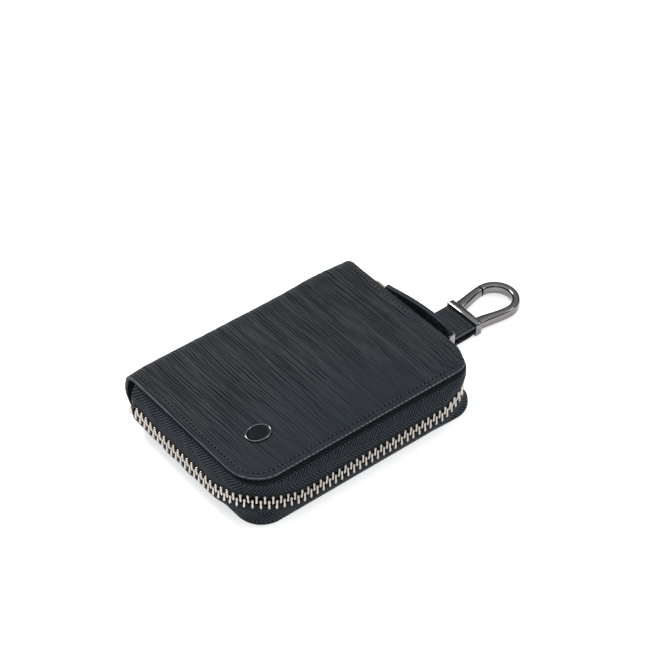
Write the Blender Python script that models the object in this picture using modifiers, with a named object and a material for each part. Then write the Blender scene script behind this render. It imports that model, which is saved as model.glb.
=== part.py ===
"""Zip-around leather key case with a looped strap and a gated clip.

The case lies on its back cover. X runs along the spine toward the strap, Y runs from the front
edge to the spine, and Z is up. The origin is the middle of the case's underside.
Lengths are in metres.
"""
import math

import bmesh
import bpy
from mathutils import Matrix, Vector

# Case
CASE_WIDTH = 0.112
CASE_DEPTH = 0.082
CASE_HEIGHT = 0.026
CORNER_RADIUS = 0.012
FOLD_RADIUS = 0.0075
LEATHER = 0.0015
BOARD = 0.0007
LINING = 0.0007
TAPE = 0.0007
CLEARANCE = 0.0003
EDGE_ROUND = 0.0004
BOARD_INSET = 0.0075
LINING_INSET = 0.0036
SPINE_LINING_INSET = 0.0045

# Zip tape, measured outward from the cover's edge
FLANGE_REACH = 0.007
TURN_START = 0.0024
TURN_INSET = 0.0008
TURN_RISE = 0.0012
TAPE_END_SET = 0.0005

# Zip chain
CHAIN_RAISE = 0.0002
CHAIN_OUTSET = 0.0014
LEFT_OUTSET = 0.0032
FRONT_OUTSET = 0.0030
CORNER_OUTSET = 0.0003
CORNER_TUCK = 0.0011
CHAIN_EASE = 0.0200
CHAIN_END_EASE = 0.0170
TOOTH_PITCH = 0.0030
TOOTH_WIDTH = 0.0011
TOOTH_DEPTH = 0.0026
TOOTH_HEAD_DEPTH = 0.0021
TOOTH_OUTER = 0.0034
TOOTH_INNER = 0.0010
BEAD_OFFSET = 0.0024
BEAD_RADIUS = 0.0006
TAPE_GAP = 0.0037
TEETH_END_SET = 0.0068
BEAD_END_SET = 0.0012
STATION_STEP = 0.0045

# Bottom stop at the zip's left end
STOP_LENGTH = 0.0022
STOP_HEIGHT = 0.0030
STOP_DEPTH = 0.0030

# Slider on the right side
SLIDER_SET = 0.0055
SLIDER_LENGTH = 0.0105
SLIDER_NOSE_HEIGHT = 0.0102
SLIDER_TAIL_HEIGHT = 0.0092
SLIDER_PLATE = 0.0009
SLIDER_CORNER = 0.0014
RAIL_THICKNESS = 0.0008
RAIL_GAP = 0.0008
WEDGE_HALF_LENGTH = 0.0017
WEDGE_HALF_HEIGHT = 0.0014
WEDGE_INSET = 0.0024
BRIDGE_LENGTH = 0.0084
BRIDGE_WIDTH = 0.0036
BRIDGE_TUNNEL = 0.0019
BRIDGE_THICKNESS = 0.0012
BRIDGE_LEG = 0.0011

# Pull tab
RING_WIRE = 0.0006
RING_NEAR_HALF = 0.0046
RING_FAR_HALF = 0.0029
RING_REACH = 0.0078
TAB_START = 0.0058
TAB_END = 0.0430
TAB_THICKNESS = 0.0028
TAB_HEIGHT = 0.0100
TAB_ROUND = 0.0007
TAB_TOP_CORNER = 0.0042
TAB_LOW_CORNER = 0.0012
PULL_END_LENGTH = 0.0028
PULL_END_WALL = 0.0007
PULL_END_LOW = 0.0046
PULL_END_HIGH = 0.0022
PULL_SPLAY_DEG = 6.8

# Strap
STRAP_Y = -0.00125
STRAP_WIDTH = 0.0167
STRAP_PLY = 0.0016
STRAP_TONGUE = 0.0007
STRAP_TONGUE_LENGTH = 0.0052
STRAP_JOIN_REACH = 0.0040
STRAP_HINGE_REACH = 0.0150
STRAP_INSERTION = 0.0018
STRAP_ROOT_HEIGHT = 0.0031
STRAP_HEIGHT = 0.0054
STRAP_TOP_HEIGHT = 0.0056
STRAP_LIFT = 0.0004
STRAP_NOTCH_MARGIN = 0.0005

# Clip
SLEEVE_REACH = 0.0278
SLEEVE_LENGTH = 0.0032
SLEEVE_HALF_WIDTH = 0.0095
SLEEVE_HEIGHT = 0.0068
SLEEVE_WALL = 0.0008
SLEEVE_BACK = 0.0011
LOOP_LOW = 0.0009
LOOP_HIGH = 0.0056
LOOP_REACH = 0.0161
LOOP_OUTER_RADIUS = 0.0104
LOOP_INNER_RADIUS = 0.0069
LOOP_NECK_HALF_WIDTH = 0.0086
LOOP_NECK_INNER = 0.0039
LOOP_WEB = 0.0008
LOOP_CORNER = 0.0005
GATE_SHOULDER = 0.0004
GATE_END_SET = 0.0015
GATE_RELIEF_DEG = 20
PIN_RADIUS = 0.0006
KNUCKLE_RADIUS = 0.0013
TONGUE_HEIGHT = 0.0016

# Key plate and hooks
PLATE_LENGTH = 0.0640
PLATE_DEPTH = 0.0090
PLATE_THICKNESS = 0.0010
PLATE_SET = 0.0070
RIVET_X = 0.0130
RIVET_HEAD_RADIUS = 0.0022
RIVET_SHANK_RADIUS = 0.0011
RIVET_HEAD_HEIGHT = 0.0009
ROD_RADIUS = 0.0008
ROD_HEIGHT = 0.0026
ROD_INSET_Y = 0.0058
EAR_THICKNESS = 0.0012
EAR_WIDTH = 0.0040
HOOK_PITCH = 0.0130
HOOK_WIRE = 0.0007
HOOK_HALF_WIDTH = 0.0030
HOOK_LENGTH = 0.0230
HOOK_NECK = 0.0046
HOOK_MOUTH = 0.0012
EYE_RADIUS = 0.0019
EYE_LENGTH = 0.0030
HOOK_DROOP_DEG = 6.5

# Slip pocket and badge
POCKET_SIDE = 0.0120
POCKET_DEPTH = 0.0480
POCKET_Y = -0.0090
POCKET_CORNER = 0.0060
BADGE_SIDE = 0.0187
BADGE_FRONT = 0.0212
BADGE_HALF_LENGTH = 0.0056
BADGE_HALF_WIDTH = 0.0044
BADGE_RIM = 0.0008
BADGE_THICKNESS = 0.0009
BADGE_SEAT = 0.0005

# Counts and shares
SLEEVE_SIDES = 24
ARC_STEPS = 10
HOOK_COUNT = 4
TAPE_WALL_STEPS = 4
START_SAG_SHARE = 0.033
LEFT_SAG_SHARE = 0.092
FRONT_SAG_SHARE = 0.085
CORNER_RAISE_SHARE = 0.027

parts = None
cutters = None


def clear_scene():
    """Removes what the file opened with and makes the two collections."""
    global parts, cutters
    for obj in list(bpy.data.objects):
        bpy.data.objects.remove(obj, do_unlink=True)
    parts = bpy.data.collections.new("key_holder")
    cutters = bpy.data.collections.new("cutters")
    bpy.context.scene.collection.children.link(parts)
    bpy.context.scene.collection.children.link(cutters)


def material(name, colour, roughness, metallic):
    """A Principled material with the part's own colour."""
    found = bpy.data.materials.get(name)
    if found:
        return found
    made = bpy.data.materials.new(name)
    made.use_nodes = True
    shader = made.node_tree.nodes["Principled BSDF"]
    shader.inputs["Base Color"].default_value = (*colour, 1.0)
    shader.inputs["Roughness"].default_value = roughness
    shader.inputs["Metallic"].default_value = metallic
    return made


def leather():
    return material("navy_leather", (0.022, 0.026, 0.034), 0.5, 0.0)


def lining():
    return material("lining_cloth", (0.03, 0.03, 0.035), 0.8, 0.0)


def board():
    return material("stiffening_board", (0.35, 0.3, 0.24), 0.9, 0.0)


def tape():
    return material("zip_tape", (0.012, 0.013, 0.018), 0.9, 0.0)


def nickel():
    return material("nickel", (0.72, 0.68, 0.62), 0.25, 1.0)


def gunmetal():
    return material("gunmetal", (0.30, 0.28, 0.27), 0.22, 1.0)


def place(mesh, name, surface, collection=None):
    """Links a mesh to the scene as a named object with one material."""
    obj = bpy.data.objects.new(name, mesh)
    if surface:
        mesh.materials.clear()
        mesh.materials.append(surface)
    (collection or parts).objects.link(obj)
    return obj


def place_cutter(mesh, name):
    """A cutter: kept apart and left out of the build."""
    obj = place(mesh, name, None, cutters)
    obj.hide_render = True
    obj.display_type = "WIRE"
    return obj


def solid_mesh(name, curve_object):
    """Turns an evaluated curve into a mesh with its caps welded, and removes the curve."""
    graph = bpy.context.evaluated_depsgraph_get()
    mesh = bpy.data.meshes.new_from_object(curve_object.evaluated_get(graph))
    mesh.name = name
    work = bmesh.new()
    work.from_mesh(mesh)
    bmesh.ops.remove_doubles(work, verts=work.verts, dist=EDGE_ROUND / 100)
    bmesh.ops.transform(work, matrix=curve_object.matrix_world, verts=work.verts)
    bmesh.ops.recalc_face_normals(work, faces=work.faces)
    work.to_mesh(mesh)
    work.free()
    bpy.data.objects.remove(curve_object, do_unlink=True)
    return mesh


def outline_mesh(name, outlines, low, high, upright=None):
    """A flat outline with thickness, from a filled 2D curve.

    Inner outlines are holes. The outline lies in the XY plane unless upright gives the
    matrix that stands it up, and its thickness runs from low to high along its own Z.
    """
    curve = bpy.data.curves.new(name, "CURVE")
    curve.dimensions = "2D"
    curve.fill_mode = "BOTH"
    curve.extrude = (high - low) / 2
    for points in outlines:
        spline = curve.splines.new("POLY")
        spline.points.add(len(points) - 1)
        for point, (x, y) in zip(spline.points, points):
            point.co = (x, y, 0, 1)
        spline.use_cyclic_u = True
    obj = bpy.data.objects.new(name, curve)
    bpy.context.scene.collection.objects.link(obj)
    lift = Matrix.Translation((0, 0, (low + high) / 2))
    obj.matrix_world = (upright or Matrix.Identity(4)) @ lift
    bpy.context.view_layer.update()
    return solid_mesh(name, obj)


def tube_mesh(name, points, radius, closed=False, resolution=1):
    """A round wire through the points, with filled ends."""
    curve = bpy.data.curves.new(name, "CURVE")
    curve.dimensions = "3D"
    curve.bevel_depth = radius
    curve.bevel_resolution = resolution
    curve.use_fill_caps = not closed
    spline = curve.splines.new("POLY")
    spline.points.add(len(points) - 1)
    for point, place_at in zip(spline.points, points):
        point.co = (*place_at, 1)
    spline.use_cyclic_u = closed
    obj = bpy.data.objects.new(name, curve)
    bpy.context.scene.collection.objects.link(obj)
    bpy.context.view_layer.update()
    return solid_mesh(name, obj)


def block_mesh(name, low, high):
    """A box between two corners."""
    mesh = bpy.data.meshes.new(name)
    work = bmesh.new()
    low, high = Vector(low), Vector(high)
    size = Matrix.Diagonal((*(high - low), 1))
    bmesh.ops.create_cube(work, size=1, matrix=Matrix.Translation((low + high) / 2) @ size)
    work.to_mesh(mesh)
    work.free()
    return mesh


def drum_mesh(name, radius, start, end, sides=SLEEVE_SIDES):
    """A cylinder from start to end."""
    start, end = Vector(start), Vector(end)
    turn = (end - start).to_track_quat("Z", "Y").to_matrix().to_4x4()
    mesh = bpy.data.meshes.new(name)
    work = bmesh.new()
    bmesh.ops.create_cone(work, cap_ends=True, segments=sides, radius1=radius, radius2=radius,
                          depth=(end - start).length,
                          matrix=Matrix.Translation((start + end) / 2) @ turn)
    work.to_mesh(mesh)
    work.free()
    return mesh


def combine(obj, mesh, operation):
    """Adds, cuts or intersects the object with a mesh that becomes a cutter."""
    cutter = place_cutter(mesh, f"{obj.name}_{operation.lower()}_{len(obj.modifiers)}")
    change = obj.modifiers.new(operation.title(), "BOOLEAN")
    change.operation = operation
    change.solver = "EXACT"
    change.object = cutter
    return obj


def soften(obj, width, segments=2):
    """Rounds the sharp edges of a piece."""
    bevel = obj.modifiers.new("Bevel", "BEVEL")
    bevel.width = width
    bevel.segments = segments
    bevel.limit_method = "ANGLE"
    bevel.angle_limit = math.radians(40)
    return obj


def smooth(obj):
    """Shades round faces smooth and keeps sharp edges."""
    obj.data.shade_smooth()
    obj.data.set_sharp_from_angle(angle=math.radians(40))
    return obj


def arc(centre, radius, start_deg, end_deg, steps=ARC_STEPS):
    """Points on an arc, both ends included."""
    turns = [math.radians(start_deg + (end_deg - start_deg) * i / steps) for i in range(steps + 1)]
    return [(centre[0] + radius * math.cos(t), centre[1] + radius * math.sin(t)) for t in turns]


def rounded_outline(low, high, radii, steps=ARC_STEPS):
    """A rectangle with its own radius at each corner: low-low, high-low, high-high, low-high."""
    corners = [(low[0], low[1], 1, 1, 180), (high[0], low[1], -1, 1, 270),
               (high[0], high[1], -1, -1, 0), (low[0], high[1], 1, -1, 90)]
    points = []
    for (x, y, inward_x, inward_y, start), radius in zip(corners, radii):
        if radius > 0:
            centre = (x + inward_x * radius, y + inward_y * radius)
            points += arc(centre, radius, start, start + 90, steps)
        else:
            points.append((x, y))
    return points


# The YZ plane stood up, so that an outline's x is the case's Y and its y is Z
SIDE_PLANE = Matrix(((0, 0, 1, 0), (1, 0, 0, 0), (0, 1, 0, 0), (0, 0, 0, 1)))
# The XZ plane stood up, so that an outline's x is the case's X and its y is Z
LONG_PLANE = Matrix(((1, 0, 0, 0), (0, 0, -1, 0), (0, 1, 0, 0), (0, 0, 0, 1)))

HALF_WIDTH = CASE_WIDTH / 2
HALF_DEPTH = CASE_DEPTH / 2
FOLD_START_Y = HALF_DEPTH - FOLD_RADIUS
LAYER_LOW = LEATHER + CLEARANCE
LAYER_HIGH = LAYER_LOW + TAPE
LINING_LOW = LAYER_HIGH + CLEARANCE
LINING_HIGH = LINING_LOW + LINING
CHAIN_X = HALF_WIDTH + CHAIN_OUTSET
CHAIN_HEIGHT = CASE_HEIGHT / 2 + CHAIN_RAISE
START_SAG = CASE_HEIGHT * START_SAG_SHARE
LEFT_SAG = CASE_HEIGHT * LEFT_SAG_SHARE
FRONT_SAG = CASE_HEIGHT * FRONT_SAG_SHARE
CORNER_RAISE = CASE_HEIGHT * CORNER_RAISE_SHARE
TAPE_END_Y = FOLD_START_Y - TAPE_END_SET
BEAD_END_Y = TAPE_END_Y - BEAD_END_SET
TEETH_END_Y = TAPE_END_Y - TEETH_END_SET
SLIDER_Y = TAPE_END_Y - SLIDER_SET

STRAP_START_X = HALF_WIDTH - STRAP_TONGUE_LENGTH
STRAP_JOIN_X = HALF_WIDTH + STRAP_JOIN_REACH
STRAP_HINGE_X = HALF_WIDTH + STRAP_HINGE_REACH
SLEEVE_START_X = HALF_WIDTH + SLEEVE_REACH
SLEEVE_END_X = SLEEVE_START_X + SLEEVE_LENGTH
STRAP_END_X = SLEEVE_START_X + STRAP_INSERTION
LOOP_HOLE_START_X = SLEEVE_END_X + LOOP_WEB
LOOP_CENTRE_X = SLEEVE_END_X + LOOP_REACH
GATE_START_X = LOOP_HOLE_START_X + GATE_SHOULDER
GATE_END_X = LOOP_CENTRE_X - GATE_END_SET
PIN_Y = STRAP_Y + (LOOP_OUTER_RADIUS + LOOP_INNER_RADIUS) / 2

PLATE_Y = FOLD_START_Y - PLATE_SET
POCKET_WIDTH = CASE_WIDTH - POCKET_SIDE * 2
BADGE_X = -HALF_WIDTH + BADGE_SIDE
BADGE_Y = -HALF_DEPTH + BADGE_FRONT


def flipped(mesh):
    """Mirrors a mesh made for the back cover to the front cover's height."""
    work = bmesh.new()
    work.from_mesh(mesh)
    mirror = Matrix.Translation((0, 0, CASE_HEIGHT)) @ Matrix.Diagonal((1, 1, -1, 1))
    bmesh.ops.transform(work, matrix=mirror, verts=work.verts)
    bmesh.ops.reverse_faces(work, faces=work.faces)
    work.to_mesh(mesh)
    work.free()
    return mesh


def cover_plan(inset, back_y):
    """The cover's outline seen from above: round corners at the front, square at the spine."""
    radius = CORNER_RADIUS - inset
    return rounded_outline((-HALF_WIDTH + inset, -HALF_DEPTH + inset), (HALF_WIDTH - inset, back_y),
                           (radius, radius, 0, 0))


def fold_profile(start_deg, end_deg, depth_in, depth_out):
    """A band of the spine fold between two depths under the outer face, as a side outline.

    The angle is zero where the lower fold meets the flat cover and 90 where it is upright.
    """
    centre = (FOLD_START_Y, FOLD_RADIUS)
    outer = arc(centre, FOLD_RADIUS - depth_out, start_deg - 90, end_deg - 90)
    inner = arc(centre, FOLD_RADIUS - depth_in, end_deg - 90, start_deg - 90)
    return outer, inner


def cover_leather(name, mirrored):
    """One cover's outer leather: flat, with the first half of the fold toward the spine."""
    trim = math.degrees(CLEARANCE / 2 / FOLD_RADIUS)
    outer, inner = fold_profile(0, 45 - trim, LEATHER, 0)
    side = [(-HALF_DEPTH, 0)] + outer + inner + [(-HALF_DEPTH, LEATHER)]
    mesh = outline_mesh(name, [side], -HALF_WIDTH, HALF_WIDTH, SIDE_PLANE)
    plan = outline_mesh(f"{name}_plan", [cover_plan(0, CASE_DEPTH)], -CASE_HEIGHT, CASE_HEIGHT * 2)
    if mirrored:
        mesh = flipped(mesh)
    obj = place(mesh, name, leather())
    combine(obj, plan, "INTERSECT")
    return obj


def cover_layer(name, inset, back_y, low, high, surface, mirrored):
    """A flat inner layer of a cover, such as its board or its lining."""
    mesh = outline_mesh(name, [cover_plan(inset, back_y)], low, high)
    return place(flipped(mesh) if mirrored else mesh, name, surface)


def make_covers():
    """Leather, board and lining of the back cover and of the front cover."""
    back_y = FOLD_START_Y
    for side, mirrored in (("back", False), ("front", True)):
        shell = cover_leather(f"{side}_leather", mirrored)
        if mirrored:
            seat = oval_outline(CLEARANCE)
            top = CASE_HEIGHT
            combine(shell, outline_mesh("badge_seat", [seat], top - BADGE_SEAT, top + BADGE_SEAT),
                    "DIFFERENCE")
        cover_layer(f"{side}_board", BOARD_INSET, back_y, LAYER_LOW, LAYER_LOW + BOARD, board(), mirrored)
        cover_layer(f"{side}_lining", LINING_INSET, back_y, LINING_LOW, LINING_HIGH, lining(), mirrored)


def spine_band(name, depth_out, thickness, trim_deg, inset, surface):
    """A layer of the spine: half a fold at the bottom, the upright wall and half a fold on top."""
    outer, inner = fold_profile(45 + trim_deg, 90, depth_out + thickness, depth_out)
    upper_outer = [(y, CASE_HEIGHT - z) for y, z in reversed(outer)]
    upper_inner = [(y, CASE_HEIGHT - z) for y, z in reversed(inner)]
    side = outer + upper_outer + upper_inner + inner
    mesh = outline_mesh(name, [side], -HALF_WIDTH + inset, HALF_WIDTH - inset, SIDE_PLANE)
    return place(mesh, name, surface)


def make_spine():
    """Leather, board and lining of the spine."""
    trim = math.degrees(CLEARANCE / 2 / FOLD_RADIUS)
    spine_band("spine_leather", 0, LEATHER, trim, 0, leather())
    spine_band("spine_lining", LINING_LOW, LINING, trim * 8, SPINE_LINING_INSET, lining())
    low = FOLD_RADIUS
    high = CASE_HEIGHT - FOLD_RADIUS
    face = HALF_DEPTH - LAYER_LOW
    mesh = block_mesh("spine_board", (-HALF_WIDTH + BOARD_INSET, face - BOARD, low),
                      (HALF_WIDTH - BOARD_INSET, face, high))
    place(mesh, "spine_board", board())


def path_lengths():
    """Lengths of the zip's path: left side, one corner, front side, right side to the tape's end."""
    side = TAPE_END_Y + HALF_DEPTH - CORNER_RADIUS
    corner = CORNER_RADIUS * math.pi / 2
    front = CASE_WIDTH - CORNER_RADIUS * 2
    return side, corner, front


def chain_knots():
    """Distances along the zip's path with the chain's height and outset at each.

    The chain sags and bulges on the left and front sides, is drawn in at the corners, and runs
    level and straight where the slider travels.
    """
    side, corner, front = path_lengths()
    left_corner = side + corner / 2
    right_corner = side + corner + front + corner / 2
    end = side * 2 + corner * 2 + front
    left = (CHAIN_HEIGHT - LEFT_SAG, LEFT_OUTSET)
    middle = (CHAIN_HEIGHT - FRONT_SAG, FRONT_OUTSET)
    level = (CHAIN_HEIGHT, CHAIN_OUTSET)
    return [(0, CHAIN_HEIGHT - START_SAG, LEFT_OUTSET), (CHAIN_EASE, *left),
            (left_corner - CHAIN_EASE, *left), (left_corner, CHAIN_HEIGHT + CORNER_RAISE, CORNER_OUTSET),
            (left_corner + CHAIN_EASE, *middle), (right_corner - CHAIN_EASE, *middle),
            (right_corner, CHAIN_HEIGHT, -CORNER_TUCK), (right_corner + CHAIN_END_EASE, *level),
            (end, *level)]


def chain_place(distance):
    """The chain's height and outset at a distance, eased between the knots by a smooth step."""
    knots = chain_knots()
    for (start, low_height, low_outset), (finish, high_height, high_outset) in zip(knots, knots[1:]):
        if distance <= finish:
            break
    share = min((distance - start) / (finish - start), 1)
    ease = share ** 2 * (3 - 2 * share)
    return low_height + (high_height - low_height) * ease, low_outset + (high_outset - low_outset) * ease


def station(distance):
    """Where the zip's path is at a distance from its left end.

    Gives the point on the cover's edge, the way out from it, the chain's height and its outset.
    """
    side, corner, front = path_lengths()
    bend_x = HALF_WIDTH - CORNER_RADIUS
    bend_y = -HALF_DEPTH + CORNER_RADIUS
    if distance <= side:
        point, outward = (-HALF_WIDTH, TAPE_END_Y - distance), (-1, 0)
    elif distance <= side + corner:
        turn = (distance - side) / corner * math.pi / 2
        outward = (-math.cos(turn), -math.sin(turn))
        point = (-bend_x + outward[0] * CORNER_RADIUS, bend_y + outward[1] * CORNER_RADIUS)
    elif distance <= side + corner + front:
        point, outward = (-bend_x + distance - side - corner, -HALF_DEPTH), (0, -1)
    elif distance <= side + corner * 2 + front:
        turn = (distance - side - corner - front) / corner * math.pi / 2
        outward = (math.sin(turn), -math.cos(turn))
        point = (bend_x + outward[0] * CORNER_RADIUS, bend_y + outward[1] * CORNER_RADIUS)
    else:
        point, outward = (HALF_WIDTH, bend_y + distance - side - corner * 2 - front), (1, 0)
    height, outset = chain_place(distance)
    return point, outward, height, outset


def at(distance, outset, height):
    """The point in space at a distance along the path, an outset from the edge and a height."""
    point, outward, _, _ = station(distance)
    return Vector((point[0] + outward[0] * outset, point[1] + outward[1] * outset, height))


def path_stations():
    """Distances along the path that the tape and the bead are built on."""
    side, corner, front = path_lengths()
    stops = [0]
    for length, step in ((side, STATION_STEP), (corner, STATION_STEP / 2), (front, STATION_STEP),
                         (corner, STATION_STEP / 2), (side, STATION_STEP)):
        count = max(1, round(length / step))
        start = stops[-1]
        stops += [start + length * (i + 1) / count for i in range(count)]
    return stops


def tape_section(distance, upper):
    """The tape's section at a distance, from its sewn flange to its edge beside the teeth."""
    _, _, height, outset = station(distance)
    middle = LAYER_LOW + TAPE / 2
    chain = CASE_HEIGHT - height if upper else height
    foot = middle + TURN_RISE
    end = chain - TAPE_GAP
    section = [(-FLANGE_REACH, middle), (-TURN_START, middle), (-TURN_INSET, foot)]
    for i in range(1, TAPE_WALL_STEPS + 1):
        climb = i / TAPE_WALL_STEPS
        lean = math.sin(climb * math.pi / 2)
        section.append((-TURN_INSET + (outset + TURN_INSET) * lean, foot + (end - foot) * climb))
    if upper:
        section = [(o, CASE_HEIGHT - z) for o, z in section]
    return section


def make_tape(name, upper):
    """A tape: an open surface swept along the zip's path and given its thickness."""
    mesh = bpy.data.meshes.new(name)
    work = bmesh.new()
    rows = []
    for distance in path_stations():
        rows.append([work.verts.new(at(distance, o, z)) for o, z in tape_section(distance, upper)])
    for row, following in zip(rows, rows[1:]):
        for a, b, c, d in zip(row, row[1:], following[1:], following):
            work.faces.new((a, b, c, d))
    bmesh.ops.recalc_face_normals(work, faces=work.faces)
    work.to_mesh(mesh)
    work.free()
    obj = place(mesh, name, tape())
    skin = obj.modifiers.new("Solidify", "SOLIDIFY")
    skin.thickness = TAPE
    skin.offset = 0
    skin.use_even_offset = True
    return obj


def tooth_places(upper):
    """Distances of one row's teeth, half a pitch apart from the other row's."""
    side, corner, front = path_lengths()
    start = TAPE_END_Y - BEAD_END_Y + TOOTH_PITCH
    end = side + corner * 2 + front + TEETH_END_Y + HALF_DEPTH - CORNER_RADIUS
    count = int((end - start) / TOOTH_PITCH)
    shift = TOOTH_PITCH / 2 if upper else 0
    return [start + shift + i * TOOTH_PITCH for i in range(count)]


def make_teeth(name, upper):
    """A row of metal teeth on the tape's corded edge, joined to one solid."""
    side, corner, front = path_lengths()
    sign = 1 if upper else -1
    last = side * 2 + corner * 2 + front - (TAPE_END_Y - BEAD_END_Y)
    stops = [s for s in path_stations() if TAPE_END_Y - BEAD_END_Y < s < last]
    stops = [TAPE_END_Y - BEAD_END_Y] + stops + [last]
    points = []
    for distance in stops:
        _, _, height, outset = station(distance)
        points.append(at(distance, outset, height + sign * BEAD_OFFSET))
    obj = place(tube_mesh(name, points, BEAD_RADIUS), name, nickel())
    mesh = bpy.data.meshes.new(f"{name}_teeth")
    work = bmesh.new()
    for distance in tooth_places(upper):
        _, outward, height, outset = station(distance)
        along = Vector((-outward[1], outward[0], 0))
        axes = Matrix((along, (*outward, 0), (0, 0, sign))).transposed().to_4x4()
        middle = height + sign * (TOOTH_OUTER - TOOTH_INNER) / 2
        spot = Matrix.Translation(at(distance, outset, middle)) @ axes
        size = Matrix.Diagonal((TOOTH_WIDTH, TOOTH_DEPTH, TOOTH_OUTER + TOOTH_INNER, 1))
        made = bmesh.ops.create_cube(work, size=1, matrix=size)["verts"]
        for vert in made:
            if vert.co.z < 0:
                vert.co.y *= TOOTH_HEAD_DEPTH / TOOTH_DEPTH
        bmesh.ops.transform(work, matrix=spot, verts=made)
    bmesh.ops.recalc_face_normals(work, faces=work.faces)
    work.to_mesh(mesh)
    work.free()
    return combine(obj, mesh, "UNION")


def make_zip():
    """Both tapes, both rows of teeth and the bottom stop."""
    lower = make_tape("lower_tape", False)
    make_tape("upper_tape", True)
    make_teeth("zip_teeth_lower", False)
    make_teeth("zip_teeth_upper", True)
    reach = STRAP_WIDTH / 2 + STRAP_NOTCH_MARGIN
    notch = block_mesh("strap_notch", (STRAP_START_X - CLEARANCE, STRAP_Y - reach, 0),
                       (CASE_WIDTH, STRAP_Y + reach, LAYER_HIGH + CLEARANCE))
    combine(lower, notch, "DIFFERENCE")
    stop_start = TAPE_END_Y - BEAD_END_Y
    _, _, height, outset = station(0)
    y = TAPE_END_Y - stop_start + CLEARANCE
    x = -HALF_WIDTH - outset
    middle = height - BEAD_OFFSET / 2
    mesh = block_mesh("bottom_stop", (x - STOP_DEPTH / 2, y, middle - STOP_HEIGHT / 2),
                      (x + STOP_DEPTH / 2, y + STOP_LENGTH, middle + STOP_HEIGHT / 2))
    soften(place(mesh, "bottom_stop", nickel()), EDGE_ROUND)


def slider_outline(y_low, y_high):
    """A slider plate seen from the side: wide at the nose, narrower at the tail."""
    tail = SLIDER_TAIL_HEIGHT / 2
    nose = SLIDER_NOSE_HEIGHT / 2
    cut = SLIDER_CORNER
    half = [(y_low, tail - cut), (y_low + cut, tail), (y_high - cut, nose), (y_high, nose - cut)]
    lower = [(y, CHAIN_HEIGHT - z) for y, z in half]
    upper = [(y, CHAIN_HEIGHT + z) for y, z in reversed(half)]
    return lower + upper


def make_slider():
    """The zip slider: two plates, a wedge between them, rails at both edges and a bridge."""
    room = TOOTH_DEPTH / 2 + CLEARANCE
    y_low = SLIDER_Y - SLIDER_LENGTH / 2
    y_high = SLIDER_Y + SLIDER_LENGTH / 2
    outline = slider_outline(y_low, y_high)
    outer_face = CHAIN_X + room + SLIDER_PLATE
    mesh = outline_mesh("slider", [outline], CHAIN_X + room, outer_face, SIDE_PLANE)
    obj = place(mesh, "slider", nickel())
    inner = outline_mesh("slider_inner", [outline], CHAIN_X - room - SLIDER_PLATE, CHAIN_X - room,
                         SIDE_PLANE)
    wedge_y = y_high - WEDGE_INSET
    wedge = [(wedge_y - WEDGE_HALF_LENGTH, CHAIN_HEIGHT), (wedge_y, CHAIN_HEIGHT - WEDGE_HALF_HEIGHT),
             (wedge_y + WEDGE_HALF_LENGTH, CHAIN_HEIGHT), (wedge_y, CHAIN_HEIGHT + WEDGE_HALF_HEIGHT)]
    overlap = SLIDER_PLATE / 2
    post = outline_mesh("slider_wedge", [wedge], CHAIN_X - room - overlap, CHAIN_X + room + overlap,
                        SIDE_PLANE)
    combine(obj, post, "UNION")
    combine(obj, inner, "UNION")
    half = BRIDGE_LENGTH / 2
    base = outer_face - SLIDER_PLATE / 3
    under = outer_face + BRIDGE_TUNNEL
    crown = under + BRIDGE_THICKNESS
    inner_half = half - BRIDGE_LEG
    arch = [(base, SLIDER_Y - half), (under, SLIDER_Y - half), (crown, SLIDER_Y - inner_half),
            (crown, SLIDER_Y + inner_half), (under, SLIDER_Y + half), (base, SLIDER_Y + half),
            (base, SLIDER_Y + inner_half), (under, SLIDER_Y + inner_half - EDGE_ROUND),
            (under, SLIDER_Y - inner_half + EDGE_ROUND), (base, SLIDER_Y - inner_half)]
    bridge = outline_mesh("slider_bridge", [arch], CHAIN_HEIGHT - BRIDGE_WIDTH / 2,
                          CHAIN_HEIGHT + BRIDGE_WIDTH / 2)
    combine(obj, bridge, "UNION")
    rail_low = TOOTH_OUTER + CLEARANCE
    for way in (-1, 1):
        for face in (-1, 1):
            near = CHAIN_X + face * RAIL_GAP
            far = CHAIN_X + face * (room + overlap)
            heights = sorted((CHAIN_HEIGHT + way * rail_low,
                              CHAIN_HEIGHT + way * (rail_low + RAIL_THICKNESS)))
            sides = sorted((near, far))
            rail = block_mesh("rail", (sides[0], y_low + SLIDER_CORNER, heights[0]),
                              (sides[1], y_high - SLIDER_CORNER, heights[1]))
            combine(obj, rail, "UNION")


def pull_pivot():
    """The axis that the pull swings on: the link's bar, under the slider's bridge."""
    room = TOOTH_DEPTH / 2 + CLEARANCE
    x = CHAIN_X + room + SLIDER_PLATE + BRIDGE_TUNNEL / 2
    return Vector((x, SLIDER_Y, CHAIN_HEIGHT))


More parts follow.
